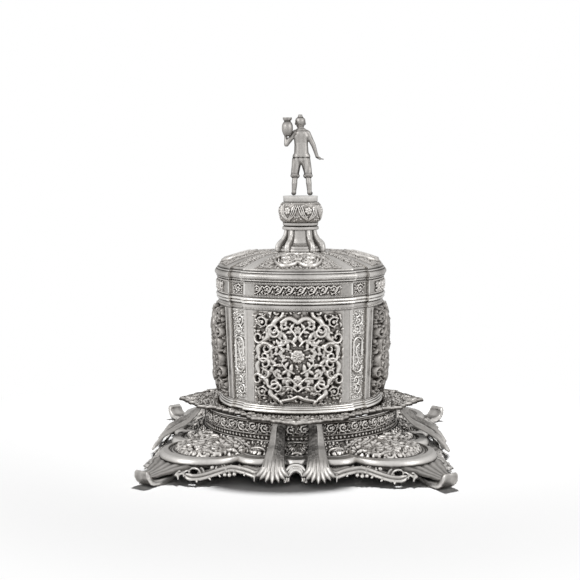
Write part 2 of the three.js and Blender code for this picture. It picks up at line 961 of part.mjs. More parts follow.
// A limb or garment between two points, with its own radius at each end
function limb(from, to, startRadius, endRadius, sides = 8) {
  const axis = to.clone().sub(from);
  const geometry = new THREE.CylinderGeometry(endRadius, startRadius, axis.length(), sides);
  geometry.applyQuaternion(
    new THREE.Quaternion().setFromUnitVectors(vector(0, 1, 0), axis.clone().normalize()),
  );
  const middle = from.clone().add(to).multiplyScalar(0.5);
  return geometry.translate(middle.x, middle.y, middle.z);
}

function ball(centre, radius, squash = 1) {
  const geometry = new THREE.SphereGeometry(radius, 8, 6);
  geometry.scale(1, squash, 1);
  return geometry.translate(centre.x, centre.y, centre.z);
}

// Joints of the figure, which faces +Y, as shares of its height over its soles
function makeFigure() {
  const at = (x, y, share) => vector(x, y, figureBottom + share * figureHeight);
  const pieces = [
    limb(at(-5.4, 3, 0.022), at(-5.2, -1.6, 0.026), 1.7, 1.5),
    limb(at(8.2, 3.4, 0.022), at(7.6, -1.4, 0.026), 1.7, 1.5),
    limb(at(-5.2, -0.8, 0.02), at(-4.4, -0.3, 0.26), 1.5, 2.3),
    limb(at(7.6, -0.6, 0.02), at(6.2, -0.3, 0.26), 1.5, 2.3),
    limb(at(-4.8, -0.3, 0.225), at(-3.2, 0, 0.48), 4, 4.4),
    limb(at(6.6, -0.3, 0.225), at(4.2, 0, 0.48), 4, 4.4),
    limb(at(0.6, 0, 0.44), at(1, 0, 0.58), 7.4, 6.2, 12),
    limb(at(1, 0, 0.56), at(0.8, 0, 0.77), 6.1, 7.2, 12),
    ball(at(0.6, 0, 0.765), 7.4, 0.72),
    limb(at(0.4, 0, 0.78), at(0, 0.2, 0.86), 2.6, 2.3),
    ball(at(0, 0.3, 0.885), 4.6, 1),
    ball(at(0, -0.4, 0.955), 2.6, 1),
    limb(at(-6.6, 0, 0.775), at(-12.6, 1.6, 0.6), 2.6, 2.1),
    limb(at(-12.8, 1.6, 0.59), at(-12.2, 2.4, 0.76), 2, 1.7),
    ball(at(-12.2, 1.8, 0.765), 2.1, 1),
    limb(at(7.4, 0, 0.77), at(10.6, 0.8, 0.6), 2.7, 2.1),
    limb(at(10.4, 0.8, 0.62), at(14, 1.6, 0.46), 2.1, 1.6),
    limb(at(13.6, 1.6, 0.47), at(18.6, 2.4, 0.434), 1.6, 0.9),
  ];
  const body = pieces.map(solid).reduce((whole, piece) => whole.add(piece));
  const flat = new THREE.BoxGeometry(60, 60, 10);
  flat.translate(0, 0, figureBottom - 5);
  return geometryOf(body.subtract(solid(flat)).subtract(jarSpace()));
}

const jarX = -11;
const jarY = -3.4;
const jarBottom = figureBottom + 0.722 * figureHeight;

const jarProfile = (grown) => [
  [0, jarBottom - grown],
  [0.55 * jarRadius + grown, jarBottom - grown],
  [jarRadius + grown, jarBottom + 0.35 * jarHeight],
  [jarRadius + grown, jarBottom + 0.55 * jarHeight],
  [0.6 * jarRadius + grown, jarBottom + 0.76 * jarHeight],
  [0.6 * jarRadius + grown, jarBottom + 0.86 * jarHeight],
  [0.85 * jarRadius + grown, jarBottom + jarHeight + grown],
  [0, jarBottom + jarHeight + grown],
];

function makeJar() {
  return turned(jarProfile(0), 12).translate(jarX, jarY, 0);
}

function jarSpace() {
  return solid(turned(jarProfile(seat), 12).translate(jarX, jarY, 0));
}

// Stand
addPiece("base_plate", makeBasePlate(), "polished");
addPiece("collar_ring", makeCollar(), "relief");
addPiece("gallery_plate", makeGalleryPlate(), "relief");
for (const [hand, label] of [[-1, "a"], [1, "b"]]) {
  onFourSides((side) => `strut_${side}_${label}`, makeStrut(hand), "satin");
  onFourSides((side) => `apron_${side}_${label}`, makeApron(hand), "satin");
}
onFourSides((side) => `arch_${side}`, makeArch(), "polished");
cornerNames.forEach((corner) => {
  const tip = corner.startsWith("front") ? frontFootTip : backFootTip;
  const hand = corner.endsWith("right") ? 1 : -1;
  addPiece(`foot_${corner}`, makeFoot(hand * tip.x, tip.y), "satin");
});

// Box
addPiece("box_wall", makeBoxWall(), "satin");
addPiece("base_moulding", makeBaseMoulding(), "polished");
onFourSides((side) => `panel_${side}`, makePanel(), "relief");
cornerNames.forEach((corner, i) => {
  addPiece(`corner_strip_${corner}`, makeCornerStrip(), "relief", (i * Math.PI) / 2);
});
addPiece("lid_bezel", makeBezel(), "satin");
addPiece("tray", makeTray(), "satin");

// Lid and finial
addPiece("lid_skirt", makeLidSkirt(), "satin");
addPiece("lid_cornice", makeCornice(), "polished");
addPiece("lid_roof", makeRoof(), "satin");
onFourSides((side) => `roof_cartouche_${side}`, makeCartouche(), "relief");
addPiece("neck", makeNeck(), "satin");
addPiece("knob", makeKnob(), "relief");
addPiece("finial_drum", makeDrum(), "polished");
addPiece("finial_stud", makeStud(), "satin");
addPiece("finial_nut", makeNut(), "satin");
addPiece("figure", makeFigure(), "satin");
addPiece("jar", makeJar(), "polished");

export default part;
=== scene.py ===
import math

import bpy
import numpy as np
from mathutils import Matrix, Vector


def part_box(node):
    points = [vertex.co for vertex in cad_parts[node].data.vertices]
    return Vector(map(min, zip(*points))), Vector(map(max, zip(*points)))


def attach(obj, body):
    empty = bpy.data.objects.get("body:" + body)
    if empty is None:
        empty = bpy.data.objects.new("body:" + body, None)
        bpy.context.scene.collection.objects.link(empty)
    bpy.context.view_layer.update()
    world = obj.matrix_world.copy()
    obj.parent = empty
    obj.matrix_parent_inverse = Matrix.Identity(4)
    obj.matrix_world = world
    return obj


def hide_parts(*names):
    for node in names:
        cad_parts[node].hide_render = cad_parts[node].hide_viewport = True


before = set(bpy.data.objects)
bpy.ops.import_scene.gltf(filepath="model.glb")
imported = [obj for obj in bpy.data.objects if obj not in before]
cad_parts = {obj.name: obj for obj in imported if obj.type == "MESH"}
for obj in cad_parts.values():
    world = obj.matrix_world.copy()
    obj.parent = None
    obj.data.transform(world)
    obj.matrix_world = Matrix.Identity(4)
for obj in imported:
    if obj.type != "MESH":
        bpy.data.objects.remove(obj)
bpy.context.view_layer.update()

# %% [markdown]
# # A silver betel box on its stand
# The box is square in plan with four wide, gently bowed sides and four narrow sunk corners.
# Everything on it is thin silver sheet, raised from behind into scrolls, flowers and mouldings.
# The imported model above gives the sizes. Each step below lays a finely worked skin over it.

MM = 0.001
SIDES = ("front", "right", "back", "left")
CORNERS = ("front_right", "back_right", "back_left", "front_left")


def low(node):
    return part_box(node)[0][2] / MM


def high(node):
    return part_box(node)[1][2] / MM


body_low, body_high = low("box_wall"), high("box_wall")
print("the body stands from", round(body_low, 1), "to", round(body_high, 1), "mm")

# %% [markdown]
# ## The camera
# The photograph was taken from about a metre away, a little above the lid and a little to the right.
# A camera looks along its own -Z, so three turns aim it: up from the floor, round to the left,
# and a very small roll, because the photograph leans a little.

# %% Camera
CAMERA_PLACE, LENS = (0.0362, -1.0415, 0.2500), 74.5
YAW, PITCH, ROLL = math.radians(2.50), math.radians(5.92), math.radians(-0.15)
camera_data = bpy.data.cameras.new("camera")
camera_data.sensor_width = 36.0
camera_data.lens = LENS
camera = bpy.data.objects.new("camera", camera_data)
bpy.context.scene.collection.objects.link(camera)
camera.location = CAMERA_PLACE
aim = Matrix.Rotation(YAW, 4, "Z") @ Matrix.Rotation(math.pi / 2 - PITCH, 4, "X")
aim = aim @ Matrix.Rotation(ROLL, 4, "Z")
camera.rotation_euler = aim.to_euler()
bpy.context.scene.camera = camera
bpy.context.scene.view_settings.view_transform = "Standard"
print("camera at", tuple(round(value, 3) for value in camera.location))

# %% [markdown]
# ## Silver
# Old silver is bright where hands and cloths reach it and nearly black in the hollows.
# Each worked piece carries a number at every point, called tone: 0 in a hollow and 1 on a crest. Where noted
# below, tone also carries painted highlights and painted shade.
# The material turns tone into colour and gloss. Two clouds of noise, broad and fine, make the wear
# uneven, and a fine bump stands for the marks of the tools.

# %% Silver finishes
CLOUDS = ((38.0, 0.42), (420.0, 0.30))
MARK_STRENGTH = 0.4


def silver(name, bright, middle, dark, edge, gloss, dull, grain, grain_depth):
    made = bpy.data.materials.new(name)
    made.use_nodes = True
    nodes, links = made.node_tree.nodes, made.node_tree.links
    shader = nodes["Principled BSDF"]
    shader.inputs["Metallic"].default_value = 1.0
    shader.inputs["Specular Tint"].default_value = (edge, edge, edge, 1.0)
    place = nodes.new("ShaderNodeTexCoord")
    tone = nodes.new("ShaderNodeAttribute")
    tone.attribute_name = "tone"
    worn = tone.outputs["Fac"]
    for scale, share in CLOUDS:
        cloud = nodes.new("ShaderNodeTexNoise")
        cloud.inputs["Scale"].default_value = scale
        cloud.inputs["Detail"].default_value = 4.0
        links.new(place.outputs["Object"], cloud.inputs["Vector"])
        centred = nodes.new("ShaderNodeMath")
        centred.operation = "SUBTRACT"
        centred.inputs[1].default_value = 0.5
        links.new(cloud.outputs["Fac"], centred.inputs[0])
        added = nodes.new("ShaderNodeMath")
        added.operation = "MULTIPLY_ADD"
        added.inputs[1].default_value = share
        links.new(centred.outputs["Value"], added.inputs[0])
        links.new(worn, added.inputs[2])
        worn = added.outputs["Value"]
    colours = nodes.new("ShaderNodeValToRGB")
    ramp = colours.color_ramp.elements
    ramp[0].position, ramp[0].color = 0.04, (*dark, 1.0)
    ramp[1].position, ramp[1].color = 0.96, (*bright, 1.0)
    between = ramp.new(0.5)
    between.color = (*middle, 1.0)
    links.new(worn, colours.inputs["Fac"])
    links.new(colours.outputs["Color"], shader.inputs["Base Color"])
    rough = nodes.new("ShaderNodeMapRange")
    rough.inputs["To Min"].default_value = dull
    rough.inputs["To Max"].default_value = gloss
    links.new(worn, rough.inputs["Value"])
    links.new(rough.outputs["Result"], shader.inputs["Roughness"])
    marks = nodes.new("ShaderNodeTexNoise")
    marks.inputs["Scale"].default_value = grain
    marks.inputs["Detail"].default_value = 5.0
    links.new(place.outputs["Object"], marks.inputs["Vector"])
    bump = nodes.new("ShaderNodeBump")
    bump.inputs["Strength"].default_value = MARK_STRENGTH
    bump.inputs["Distance"].default_value = grain_depth
    links.new(marks.outputs["Fac"], bump.inputs["Height"])
    links.new(bump.outputs["Normal"], shader.inputs["Normal"])
    return made


RELIEF = silver(
    "relief silver", bright=(0.70, 0.675, 0.645), middle=(0.34, 0.322, 0.303), dark=(0.022, 0.018, 0.015),
    edge=0.35, gloss=0.30, dull=0.6, grain=1500.0, grain_depth=0.0001,
)
SATIN = silver(
    "satin silver", bright=(0.64, 0.62, 0.595), middle=(0.36, 0.345, 0.328), dark=(0.03, 0.027, 0.024),
    edge=0.5, gloss=0.34, dull=0.55, grain=900.0, grain_depth=0.00006,
)
POLISHED = silver(
    "polished silver", bright=(0.84, 0.82, 0.79), middle=(0.40, 0.385, 0.366), dark=(0.03, 0.027, 0.024),
    edge=0.6, gloss=0.2, dull=0.5, grain=500.0, grain_depth=0.00003,
)
print("three silver finishes")

# %% [markdown]
# ## A skin from a grid
# Nearly every piece is one sheet of metal, so nearly every piece starts as a grid primitive.
# The grid's points are then carried to their places on the real form, row by row.
# Where a sheet meets itself, as round a ring, its doubled points are merged.

# %% Grid helper
EDGE_SINK, EDGE_TONE = 0.5, 0.1


def free_selection():
    for chosen in list(bpy.context.selected_objects):
        chosen.select_set(False)


def finish_piece(piece, name, body, nodes, finish, angle=40.0):
    piece.name = name
    piece.data.name = name
    piece.data.materials.clear()
    piece.data.materials.append(finish)
    free_selection()
    bpy.context.view_layer.objects.active = piece
    piece.select_set(True)
    bpy.ops.object.shade_smooth_by_angle(angle=math.radians(angle))
    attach(piece, body)
    if nodes:
        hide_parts(*nodes)
    return piece


def grid_piece(points, tone, closes=False):
    """points is (rows, columns, 3) in millimetres, tone is (rows, columns)"""
    rows, columns = points.shape[:2]
    free_selection()
    bpy.ops.mesh.primitive_grid_add(x_subdivisions=columns - 1, y_subdivisions=rows - 1, size=1.0)
    piece = bpy.context.active_object
    mesh = piece.data
    mesh.vertices.foreach_set("co", (points * MM).astype(np.float32).ravel())
    layer = mesh.attributes.new("tone", "FLOAT", "POINT")
    layer.data.foreach_set("value", np.clip(tone, 0.0, 1.0).astype(np.float32).ravel())
    mesh.update()
    if closes:
        bpy.ops.object.mode_set(mode="EDIT")
        bpy.ops.mesh.select_all(action="SELECT")
        bpy.ops.mesh.remove_doubles(threshold=1e-6)
        bpy.ops.mesh.normals_make_consistent(inside=False)
        bpy.ops.object.mode_set(mode="OBJECT")
    return piece


def join_pieces(pieces):
    free_selection()
    for each in pieces:
        each.select_set(True)
    bpy.context.view_layer.objects.active = pieces[0]
    bpy.ops.object.join()
    return bpy.context.active_object


def turned_copy(piece, quarter, mirror=False):
    copy = piece.copy()
    copy.data = piece.data.copy()
    bpy.context.scene.collection.objects.link(copy)
    move = Matrix.Rotation(quarter * math.pi / 2, 4, "Z")
    if mirror:
        move = move @ Matrix.Scale(-1, 4, (1, 0, 0))
    copy.data.transform(move)
    if mirror:
        copy.data.flip_normals()
    return copy


ON_SIDES = [(side, quarter, False) for quarter, side in enumerate(SIDES)]
ON_CORNERS = [(corner, quarter, False) for quarter, corner in enumerate(CORNERS)]
# Each side carries a pair: b is as drawn and a is its mirror image
ON_HALF_SIDES = [(f"{side}_{half}", quarter, half == "a") for side, quarter, _ in ON_SIDES for half in "ab"]


def copies_round(first, name, places, body, nodes, finish, angle=40.0):
    """A turned copy at each (label, quarter, mirrored) place. The label ends its name and its nodes' names."""
    for label, quarter, mirrored in places:
        copy = turned_copy(first, quarter, mirrored)
        finish_piece(copy, name + label, body, [node + label for node in nodes], finish, angle)
    bpy.data.objects.remove(first)


def capped(loop, tones):
    """Closes both ends of a tube with a point in the middle of its first and last row"""
    first_end = loop[:1].mean(axis=1, keepdims=True) + 0 * loop[:1]
    last_end = loop[-1:].mean(axis=1, keepdims=True) + 0 * loop[-1:]
    return np.concatenate([first_end, loop, last_end]), np.concatenate([tones[:1], tones, tones[-1:]])


def face_out(points, normals):
    """True where the grid faces the way of its normals"""
    across = points[1:-1, 2:] - points[1:-1, :-2]
    along = points[2:, 1:-1] - points[:-2, 1:-1]
    facing = np.einsum("ijk,ijk->ij", np.cross(across, along), normals[1:-1, 1:-1])
    return facing.sum() >= 0


def relief_skin(points, normals, heights, tone):
    """A raised skin whose edges are turned down into what carries it"""
    lifted = points + normals * heights[..., None]
    lifted = np.pad(lifted, ((1, 1), (1, 1), (0, 0)), mode="edge")
    grown = np.pad(normals, ((1, 1), (1, 1), (0, 0)), mode="edge")
    ground = np.pad(points, ((1, 1), (1, 1), (0, 0)), mode="edge")
    edge = np.ones(lifted.shape[:2], bool)
    edge[1:-1, 1:-1] = False
    lifted[edge] = (ground - grown * EDGE_SINK)[edge]
    tones = np.pad(tone, 1, mode="edge")
    tones[edge] = EDGE_TONE
    if not face_out(points, normals):
        lifted, tones = lifted[:, ::-1], tones[:, ::-1]
    return grid_piece(lifted, tones)


print("helpers for skins are ready")

# %% [markdown]
# ## Drawing raised work
# A chaser raises a scroll by pushing the metal up along a line, fat at one end and fine at the other.
# The field below is a height map in millimetres. Every scroll, leaf, flower and bead stamps round
# marks on it, side by side along a curve, and the highest mark wins.

# %% Raised-work field
rng = np.random.default_rng(7)
LEAF_STEPS = 12


def curve_through(points, steps=8):
    """A smooth Catmull-Rom curve through a few points in the plane or in space"""
    points = np.asarray(points, float)
    padded = np.concatenate([[2 * points[0] - points[1]], points, [2 * points[-1] - points[-2]]])
    f = (np.arange(steps) / steps)[:, None]
    made = []
    for i in range(len(points) - 1):
        p0, p1, p2, p3 = padded[i : i + 4]
        bend, twist = 2 * p0 - 5 * p1 + 4 * p2 - p3, 3 * p1 - p0 - 3 * p2 + p3
        made.append(0.5 * (2 * p1 + (p2 - p0) * f + bend * f**2 + twist * f**3))
    return np.concatenate(made + [points[-1:]])


class Field:
    """A height map of width by height millimetres about its middle, with ways to draw on it"""

    def __init__(self, width, height, step):
        self.step = step
        self.width, self.height = width, height
        self.x = np.arange(-width / 2, width / 2 + step / 2, step)
        self.y = np.arange(-height / 2, height / 2 + step / 2, step)
        self.h = np.zeros((len(self.y), len(self.x)))

    def stamp(self, x, y, radius, lift):
        """One round mark, the highest mark winning"""
        i0 = max(int((x - radius - self.x[0]) / self.step), 0)
        i1 = min(int((x + radius - self.x[0]) / self.step) + 2, len(self.x))
        j0 = max(int((y - radius - self.y[0]) / self.step), 0)
        j1 = min(int((y + radius - self.y[0]) / self.step) + 2, len(self.y))
        if i0 >= i1 or j0 >= j1:
            return
        gone = ((self.x[i0:i1][None] - x) ** 2 + (self.y[j0:j1][:, None] - y) ** 2) / radius**2
        mark = lift * np.sqrt(np.clip(1 - gone, 0, None))
        part = self.h[j0:j1, i0:i1]
        np.maximum(part, mark, out=part)

    def stroke(self, points, radii, lift):
        """Marks side by side along a path, lower where the path is thin"""
        points = np.asarray(points, float)
        radii = np.broadcast_to(np.asarray(radii, float), len(points))
        lengths = np.hypot(*np.diff(points, axis=0).T)
        for i, length in enumerate(lengths):
            steps = max(int(length / max(0.35 * min(radii[i], radii[i + 1]), 0.15)), 1)
            for t in np.arange(steps) / steps:
                x, y = points[i] * (1 - t) + points[i + 1] * t
                radius = radii[i] * (1 - t) + radii[i + 1] * t
                self.stamp(x, y, radius, lift * min(1, 0.55 + 0.45 * radius / radii.max()))

    def leaf(self, x, y, length, angle, curl, width, lift):
        t = np.linspace(0, 1, LEAF_STEPS)
        heading = angle + curl * t
        ahead = np.cumsum(np.cos(heading)) * length / LEAF_STEPS
        up = np.cumsum(np.sin(heading)) * length / LEAF_STEPS
        radii = np.maximum(width * np.sin(np.pi * t**0.7), 0.25)
        self.stroke(np.stack([x + ahead, y + up], 1), radii, lift)

    def curl(self, points, width, lift, hands=(0, 0)):
        """A fat stem through a few points; a hand of 1 or -1 rolls that end up into a volute"""
        path = curve_through(points)
        t = np.linspace(0, 1, len(path))
        self.stroke(path, width * (0.72 + 0.35 * np.sin(np.pi * t)), lift)
        for end, before, hand in ((path[0], path[1], hands[0]), (path[-1], path[-2], hands[1])):
            if not hand:
                self.stamp(*end, width * 1.35, lift * 1.02)
                continue
            heading = math.atan2(*(end - before)[::-1])
            turn = np.linspace(0, 1, 26)
            bend = heading + hand * 6.6 * turn
            pace = width * 0.52 * (1 - 0.72 * turn)
            roll = end + np.cumsum(np.stack([np.cos(bend), np.sin(bend)], 1) * pace[:, None], axis=0)
            self.stroke(roll, width * (0.74 - 0.30 * turn), lift * 1.05)

    def frond(self, points, width, lift):
        """A curved stem with fat leaves on both sides, growing finer towards its tip"""
        path = curve_through(points, 7)
        t = np.linspace(0, 1, len(path))
        headings = np.arctan2(np.gradient(path[:, 1]), np.gradient(path[:, 0]))
        walked = np.concatenate([[0], np.cumsum(np.hypot(*np.diff(path, axis=0).T))])
        self.stroke(path, width * (0.66 - 0.3 * t), lift)
        for number, place in enumerate(np.arange(width, walked[-1], 1.45 * width)):
            share = place / walked[-1]
            x, y = np.interp(place, walked, path[:, 0]), np.interp(place, walked, path[:, 1])
            heading = np.interp(place, walked, np.unwrap(headings))
            hand = 1 if number % 2 else -1
            length, broad = width * (4.3 - 1.9 * share), width * (1.1 - 0.3 * share)
            self.leaf(x, y, length, heading + 0.75 * hand, 0.9 * hand, broad, lift * (0.95 - 0.15 * share))

    def scroll(self, x, y, size, start, hand, width, lift, turns=1.35, leaves=5):
        """A spiral that winds in to an eye, with leaves on its outside"""
        t = np.linspace(0, 1, 40)
        angle = start + hand * turns * 2 * np.pi * t
        radius = size * (1 - 0.86 * t)
        path = np.stack([x + radius * np.cos(angle), y + radius * np.sin(angle)], 1)
        self.stroke(path, width * (1 - 0.45 * t), lift)
        self.stamp(x, y, width * 1.25, lift * 1.05)
        for k in range(leaves):
            i = int(3 + k * 26 / max(leaves, 1))
            out = angle[i] + hand * 0.5
            self.leaf(path[i, 0], path[i, 1], size * 0.55, out, hand * 1.1, width * 0.9, lift * 0.8)

    def flower(self, x, y, size, petals, lift):
        for k in range(petals):
            angle = 2 * np.pi * k / petals + 0.3
            across, up = 0.58 * size * np.cos(angle), 0.58 * size * np.sin(angle)
            self.stamp(x + across, y + up, 0.40 * size, lift * 0.85)
        self.stamp(x, y, 0.34 * size, lift)

    def line(self, y, width, lift):
        self.stroke([(-self.width / 2, y), (self.width / 2, y)], width, lift)

    def fill(self, tries, size, lift, inside=None):
        """Small leaves where nothing is raised yet"""
        for _ in range(tries):
            x = rng.uniform(-self.width / 2, self.width / 2) * 0.97
            y = rng.uniform(-self.height / 2, self.height / 2) * 0.97
            if inside is not None and not inside(x, y):
                continue
            i, j = int((x - self.x[0]) / self.step), int((y - self.y[0]) / self.step)
            reach = max(int(size * 0.8 / self.step), 1)
            around = self.h[max(j - reach, 0) : j + reach + 1, max(i - reach, 0) : i + reach + 1]
            if around.max() > 0.15 * lift:
                continue
            self.leaf(x, y, size * 2.6, rng.uniform(0, 2 * np.pi), rng.uniform(-1.5, 1.5), size * 0.75, lift)

    def mirrored(self):
        self.h = np.maximum(self.h, self.h[:, ::-1])

    def soft(self):
        padded = np.pad(self.h, 1, mode="edge")
        around = padded[:-2, 1:-1] + padded[2:, 1:-1] + padded[1:-1, :-2] + padded[1:-1, 2:]
        self.h = 0.5 * self.h + 0.125 * around

    def tone(self, middle, gain, reach):
        """Bright where the work stands above what is round it, dark where it lies below"""
        wide = self.h.copy()
        for _ in range(reach):
            padded = np.pad(wide, 2, mode="edge")
            wide = (padded[:-4, 2:-2] + padded[4:, 2:-2] + padded[2:-2, :-4] + padded[2:-2, 4:] + wide) / 5
        local = (self.h - wide) / (0.22 * max(self.h.max(), 1e-6))
        return np.clip(middle + gain * local, 0.0, 1.0)

    def sample(self, values, x, y):
        """values read at millimetre places by bilinear steps"""
        u = np.clip((x - self.x[0]) / self.step, 0, len(self.x) - 1.001)
        v = np.clip((y - self.y[0]) / self.step, 0, len(self.y) - 1.001)
        i, j = u.astype(int), v.astype(int)
        fu, fv = u - i, v - j
        top = values[j, i] * (1 - fu) + values[j, i + 1] * fu
        bottom = values[j + 1, i] * (1 - fu) + values[j + 1, i + 1] * fu
        return top * (1 - fv) + bottom * fv


print("the field can draw scrolls, leaves, flowers and beads")

# %% [markdown]
# ## The lobed plan
# Each side is an arc of a large circle. Between two arcs lies a narrow flat corner, sunk a little.
# All walls and mouldings follow this plan at some half-width, grown outwards by an offset.

# %% Plan of the box
LOBE_HALF, LOBE_DROP, CORNER_SINK, PLAN_HALF = 46.0, 13.9, 2.5, 72.4
BODY_HALF, BODY_TAPER = 68.0, 3.0
CORNER_NARROWING = 1.0
LOBE_RADIUS = (LOBE_HALF**2 + LOBE_DROP**2) / (2 * LOBE_DROP)
LOBE_ANGLE = math.asin(LOBE_HALF / LOBE_RADIUS)


def spin(points, quarter):
    """Turns (..., 3) points by quarter turns about the axis"""
    c, s = round(math.cos(quarter * math.pi / 2)), round(math.sin(quarter * math.pi / 2))
    x, y = points[..., 0], points[..., 1]
    return np.stack([c * x - s * y, s * x + c * y, points[..., 2]], -1)


LOBE_SHARES = np.concatenate([[-1, -0.985, -0.955], np.linspace(-0.92, 0.92, 25), [0.955, 0.985, 1]])
CORNER_SHARES = np.array([0, 0.04, 0.14, 0.5, 0.86, 0.96, 1])
# Painted highlight: the step beside each corner is bright to its foot. Along the crease there lies tarnish,
# deepened with painted shade
SIDE_PAINTED_HIGHLIGHT = np.concatenate([[1, 0.8, 0], np.zeros(25), [0, 0.8, 1], [0.9], np.zeros(7), [0.9]])
SIDE_TARNISH_AND_SHADE = 0.22 * np.concatenate([np.zeros(31), [0], [1, 0.8, 0.1, 0, 0.1, 0.8, 1], [0]])
# Painted sheen: three broad bright places along a side with duller ones between, standing for reflections on
# the metal
SIDE_PAINTED_SHEEN = np.concatenate([0.15 * np.cos(3 * np.pi * (LOBE_SHARES + 0.25)), np.zeros(9)])


def plan(half, offset):
    """The closed outline as (n, 2) points in order round the axis"""
    scale = half / PLAN_HALF
    centre = half - LOBE_RADIUS * scale
    radius = LOBE_RADIUS * scale + offset
    step = (PLAN_HALF - LOBE_DROP - LOBE_HALF) * scale - min(offset, CORNER_NARROWING) * math.sqrt(2)
    face = (PLAN_HALF - LOBE_DROP + LOBE_HALF - CORNER_SINK * math.sqrt(2)) * scale + offset * math.sqrt(2)
    shift = step - centre
    end = (math.sqrt(2 * radius**2 - shift**2) - shift) / 2
    angles = math.asin(end / radius) * LOBE_SHARES
    lobe = np.stack([radius * np.sin(angles), -(centre + radius * np.cos(angles))], 1)
    a, b = (face - step) / 2, (face + step) / 2
    t = CORNER_SHARES[:, None]
    corner = np.array([a, -b]) * (1 - t) + np.array([b, -a]) * t
    following = np.array([-lobe[0, 1], lobe[0, 0]])
    before = 0.3 * lobe[-1] + 0.7 * corner[0]
    after = 0.3 * following + 0.7 * corner[-1]
    side = np.concatenate([lobe, [before], corner, [after]])
    flat = np.concatenate([side, np.zeros((len(side), 1))], 1)
    ring = np.concatenate([spin(flat, k) for k in range(4)])
    return ring[:, :2]


def plan_sweep(stations, closes=True):
    """stations are [half, offset, height, tone] in order up the outside"""
    rows, tones = [], []
    shades = (SIDE_PAINTED_HIGHLIGHT, SIDE_TARNISH_AND_SHADE, SIDE_PAINTED_SHEEN)
    bright, dark, painted_sheen = (np.append(np.tile(shade, 4), shade[0]) for shade in shades)
    for half, offset, height, tone in stations:
        ring = plan(half, offset)
        ring = np.concatenate([ring, ring[:1]])
        rows.append(np.concatenate([ring, np.full((len(ring), 1), height)], 1))
        # Painted light on every sweep: a painted highlight on the steps beside the corners, tarnish and painted
        # shade in the corner creases, and a painted sheen along each side
        lit = tone + bright * (1.05 - tone) * min(tone * 1.5, 1)
        tones.append(lit * (1 - 0.8 * dark) * (1 + painted_sheen))
    if closes:
        rows.append(rows[0])
        tones.append(tones[0])
    return grid_piece(np.stack(rows), np.stack(tones), closes=True)


def even_outline(half, offset, spacing):
    """The outline in even steps, with its outward normals"""
    ring = plan(half, offset)
    ring = np.concatenate([ring, ring[:1]])
    run = np.concatenate([[0], np.cumsum(np.hypot(*np.diff(ring, axis=0).T))])
    count = int(run[-1] / spacing)
    where = np.linspace(0, run[-1], count + 1)
    place = np.stack([np.interp(where, run, ring[:, k]) for k in range(2)], 1)
    along = np.roll(place[:-1], -1, axis=0) - np.roll(place[:-1], 1, axis=0)
    along = np.concatenate([along, along[:1]])
    along /= np.hypot(*along.T)[:, None]
    return place, np.stack([along[:, 1], -along[:, 0]], 1)


def bead_row(half, offset, height, size, columns=5):
    """A row of half-round beads that follows the outline"""
    place, normal = even_outline(half, offset, size * 2.3 / columns)
    swell = np.abs(np.sin(np.pi * np.arange(len(place)) / columns)) ** 0.6
    rounds = np.linspace(-np.pi / 2, np.pi / 2, 6)[:, None]
    out = -0.3 + (size * np.cos(rounds) + 0.3) * (0.35 + 0.65 * swell)
    rise = size * np.sin(rounds) * (0.5 + 0.5 * swell)
    flat = place[None] + normal[None] * out[..., None]
    points = np.concatenate([flat, (height + rise)[..., None]], -1)
    return grid_piece(points, 0.12 + 0.85 * swell * np.cos(rounds) ** 0.5, closes=True)


def turned(profile, steps=96):
    """profile is [radius, height, tone] up the outside, turned about the axis"""
    angles = np.linspace(0, 2 * np.pi, steps + 1)
    radius, height, tone = (np.array([station[k] for station in profile])[:, None] for k in range(3))
    points = np.stack([radius * np.cos(angles), radius * np.sin(angles), height + 0 * angles], -1)
    return grid_piece(points, tone + 0 * angles, closes=True)


def body_half(height):
    """Half-width of the body, which tapers a little towards its foot"""
    return BODY_HALF + BODY_TAPER * (height - body_low) / (body_high - body_low)


def lobe_place(along, height, half):
    """Points and normals on the front lobe, for places along its arc and heights"""
    scale = half / PLAN_HALF
    radius = LOBE_RADIUS * scale
    angle = along / radius
    points = np.stack([radius * np.sin(angle), -(half - radius + radius * np.cos(angle)), height], -1)
    normals = np.stack([np.sin(angle), -np.cos(angle), 0 * angle], -1)
    return points, normals


def corner_place(across, height, half):
    """Points and normals on the front right corner face"""
    distance = ((PLAN_HALF - LOBE_DROP + LOBE_HALF) / math.sqrt(2) - CORNER_SINK) * half / PLAN_HALF
    r = math.sqrt(0.5)
    points = np.stack([r * (distance + across), -r * (distance - across), height + 0 * across], -1)
    normals = np.broadcast_to(np.array([r, -r, 0.0]), points.shape)
    return points, normals


print("the plan has", len(plan(70, 0)), "points")

# %% [markdown]
# ## Wall and floor of the box
# The wall is a single sheet, satin on the plain uprights between the panels and the corners.
# It tapers a little towards its foot. Thin half-round fillets frame the uprights, and a row of
# beads runs round just under the lid.

# %% Wall
PANEL_HALF, UPRIGHT_HALF, FILLET = 37.6, 45.2, 0.55
field_low, field_high = body_low + 8.6, body_high - 5.2
wall_stations = [
    [0.5, 0, body_low, 0.5],
    [body_half(body_low), 0, body_low, 0.3],
    *[[body_half(z), 0, z, 0.66] for z in np.linspace(field_low, field_high, 12)],
    [body_half(field_high + 0.4), 0, field_high + 0.4, 0.15],
    [body_half(field_high + 0.8), 0.5, field_high + 0.8, 0.7],
    [body_half(body_high - 0.6), 0.5, body_high - 0.6, 0.75],
    [body_half(body_high), 0, body_high, 0.3],
    [body_half(body_high), -1.6, body_high, 0.5],
    [body_half(body_low), -1.6, body_low + 2, 0.5],
    [0.5, 0, body_low + 2, 0.5],
]
finish_piece(plan_sweep(wall_stations, closes=False), "wall", "box", ["box_wall"], SATIN)
beading = bead_row(body_half(body_high), 0.5, body_high - 3.4, 0.6)
finish_piece(beading, "wall_beading", "box", [], RELIEF)


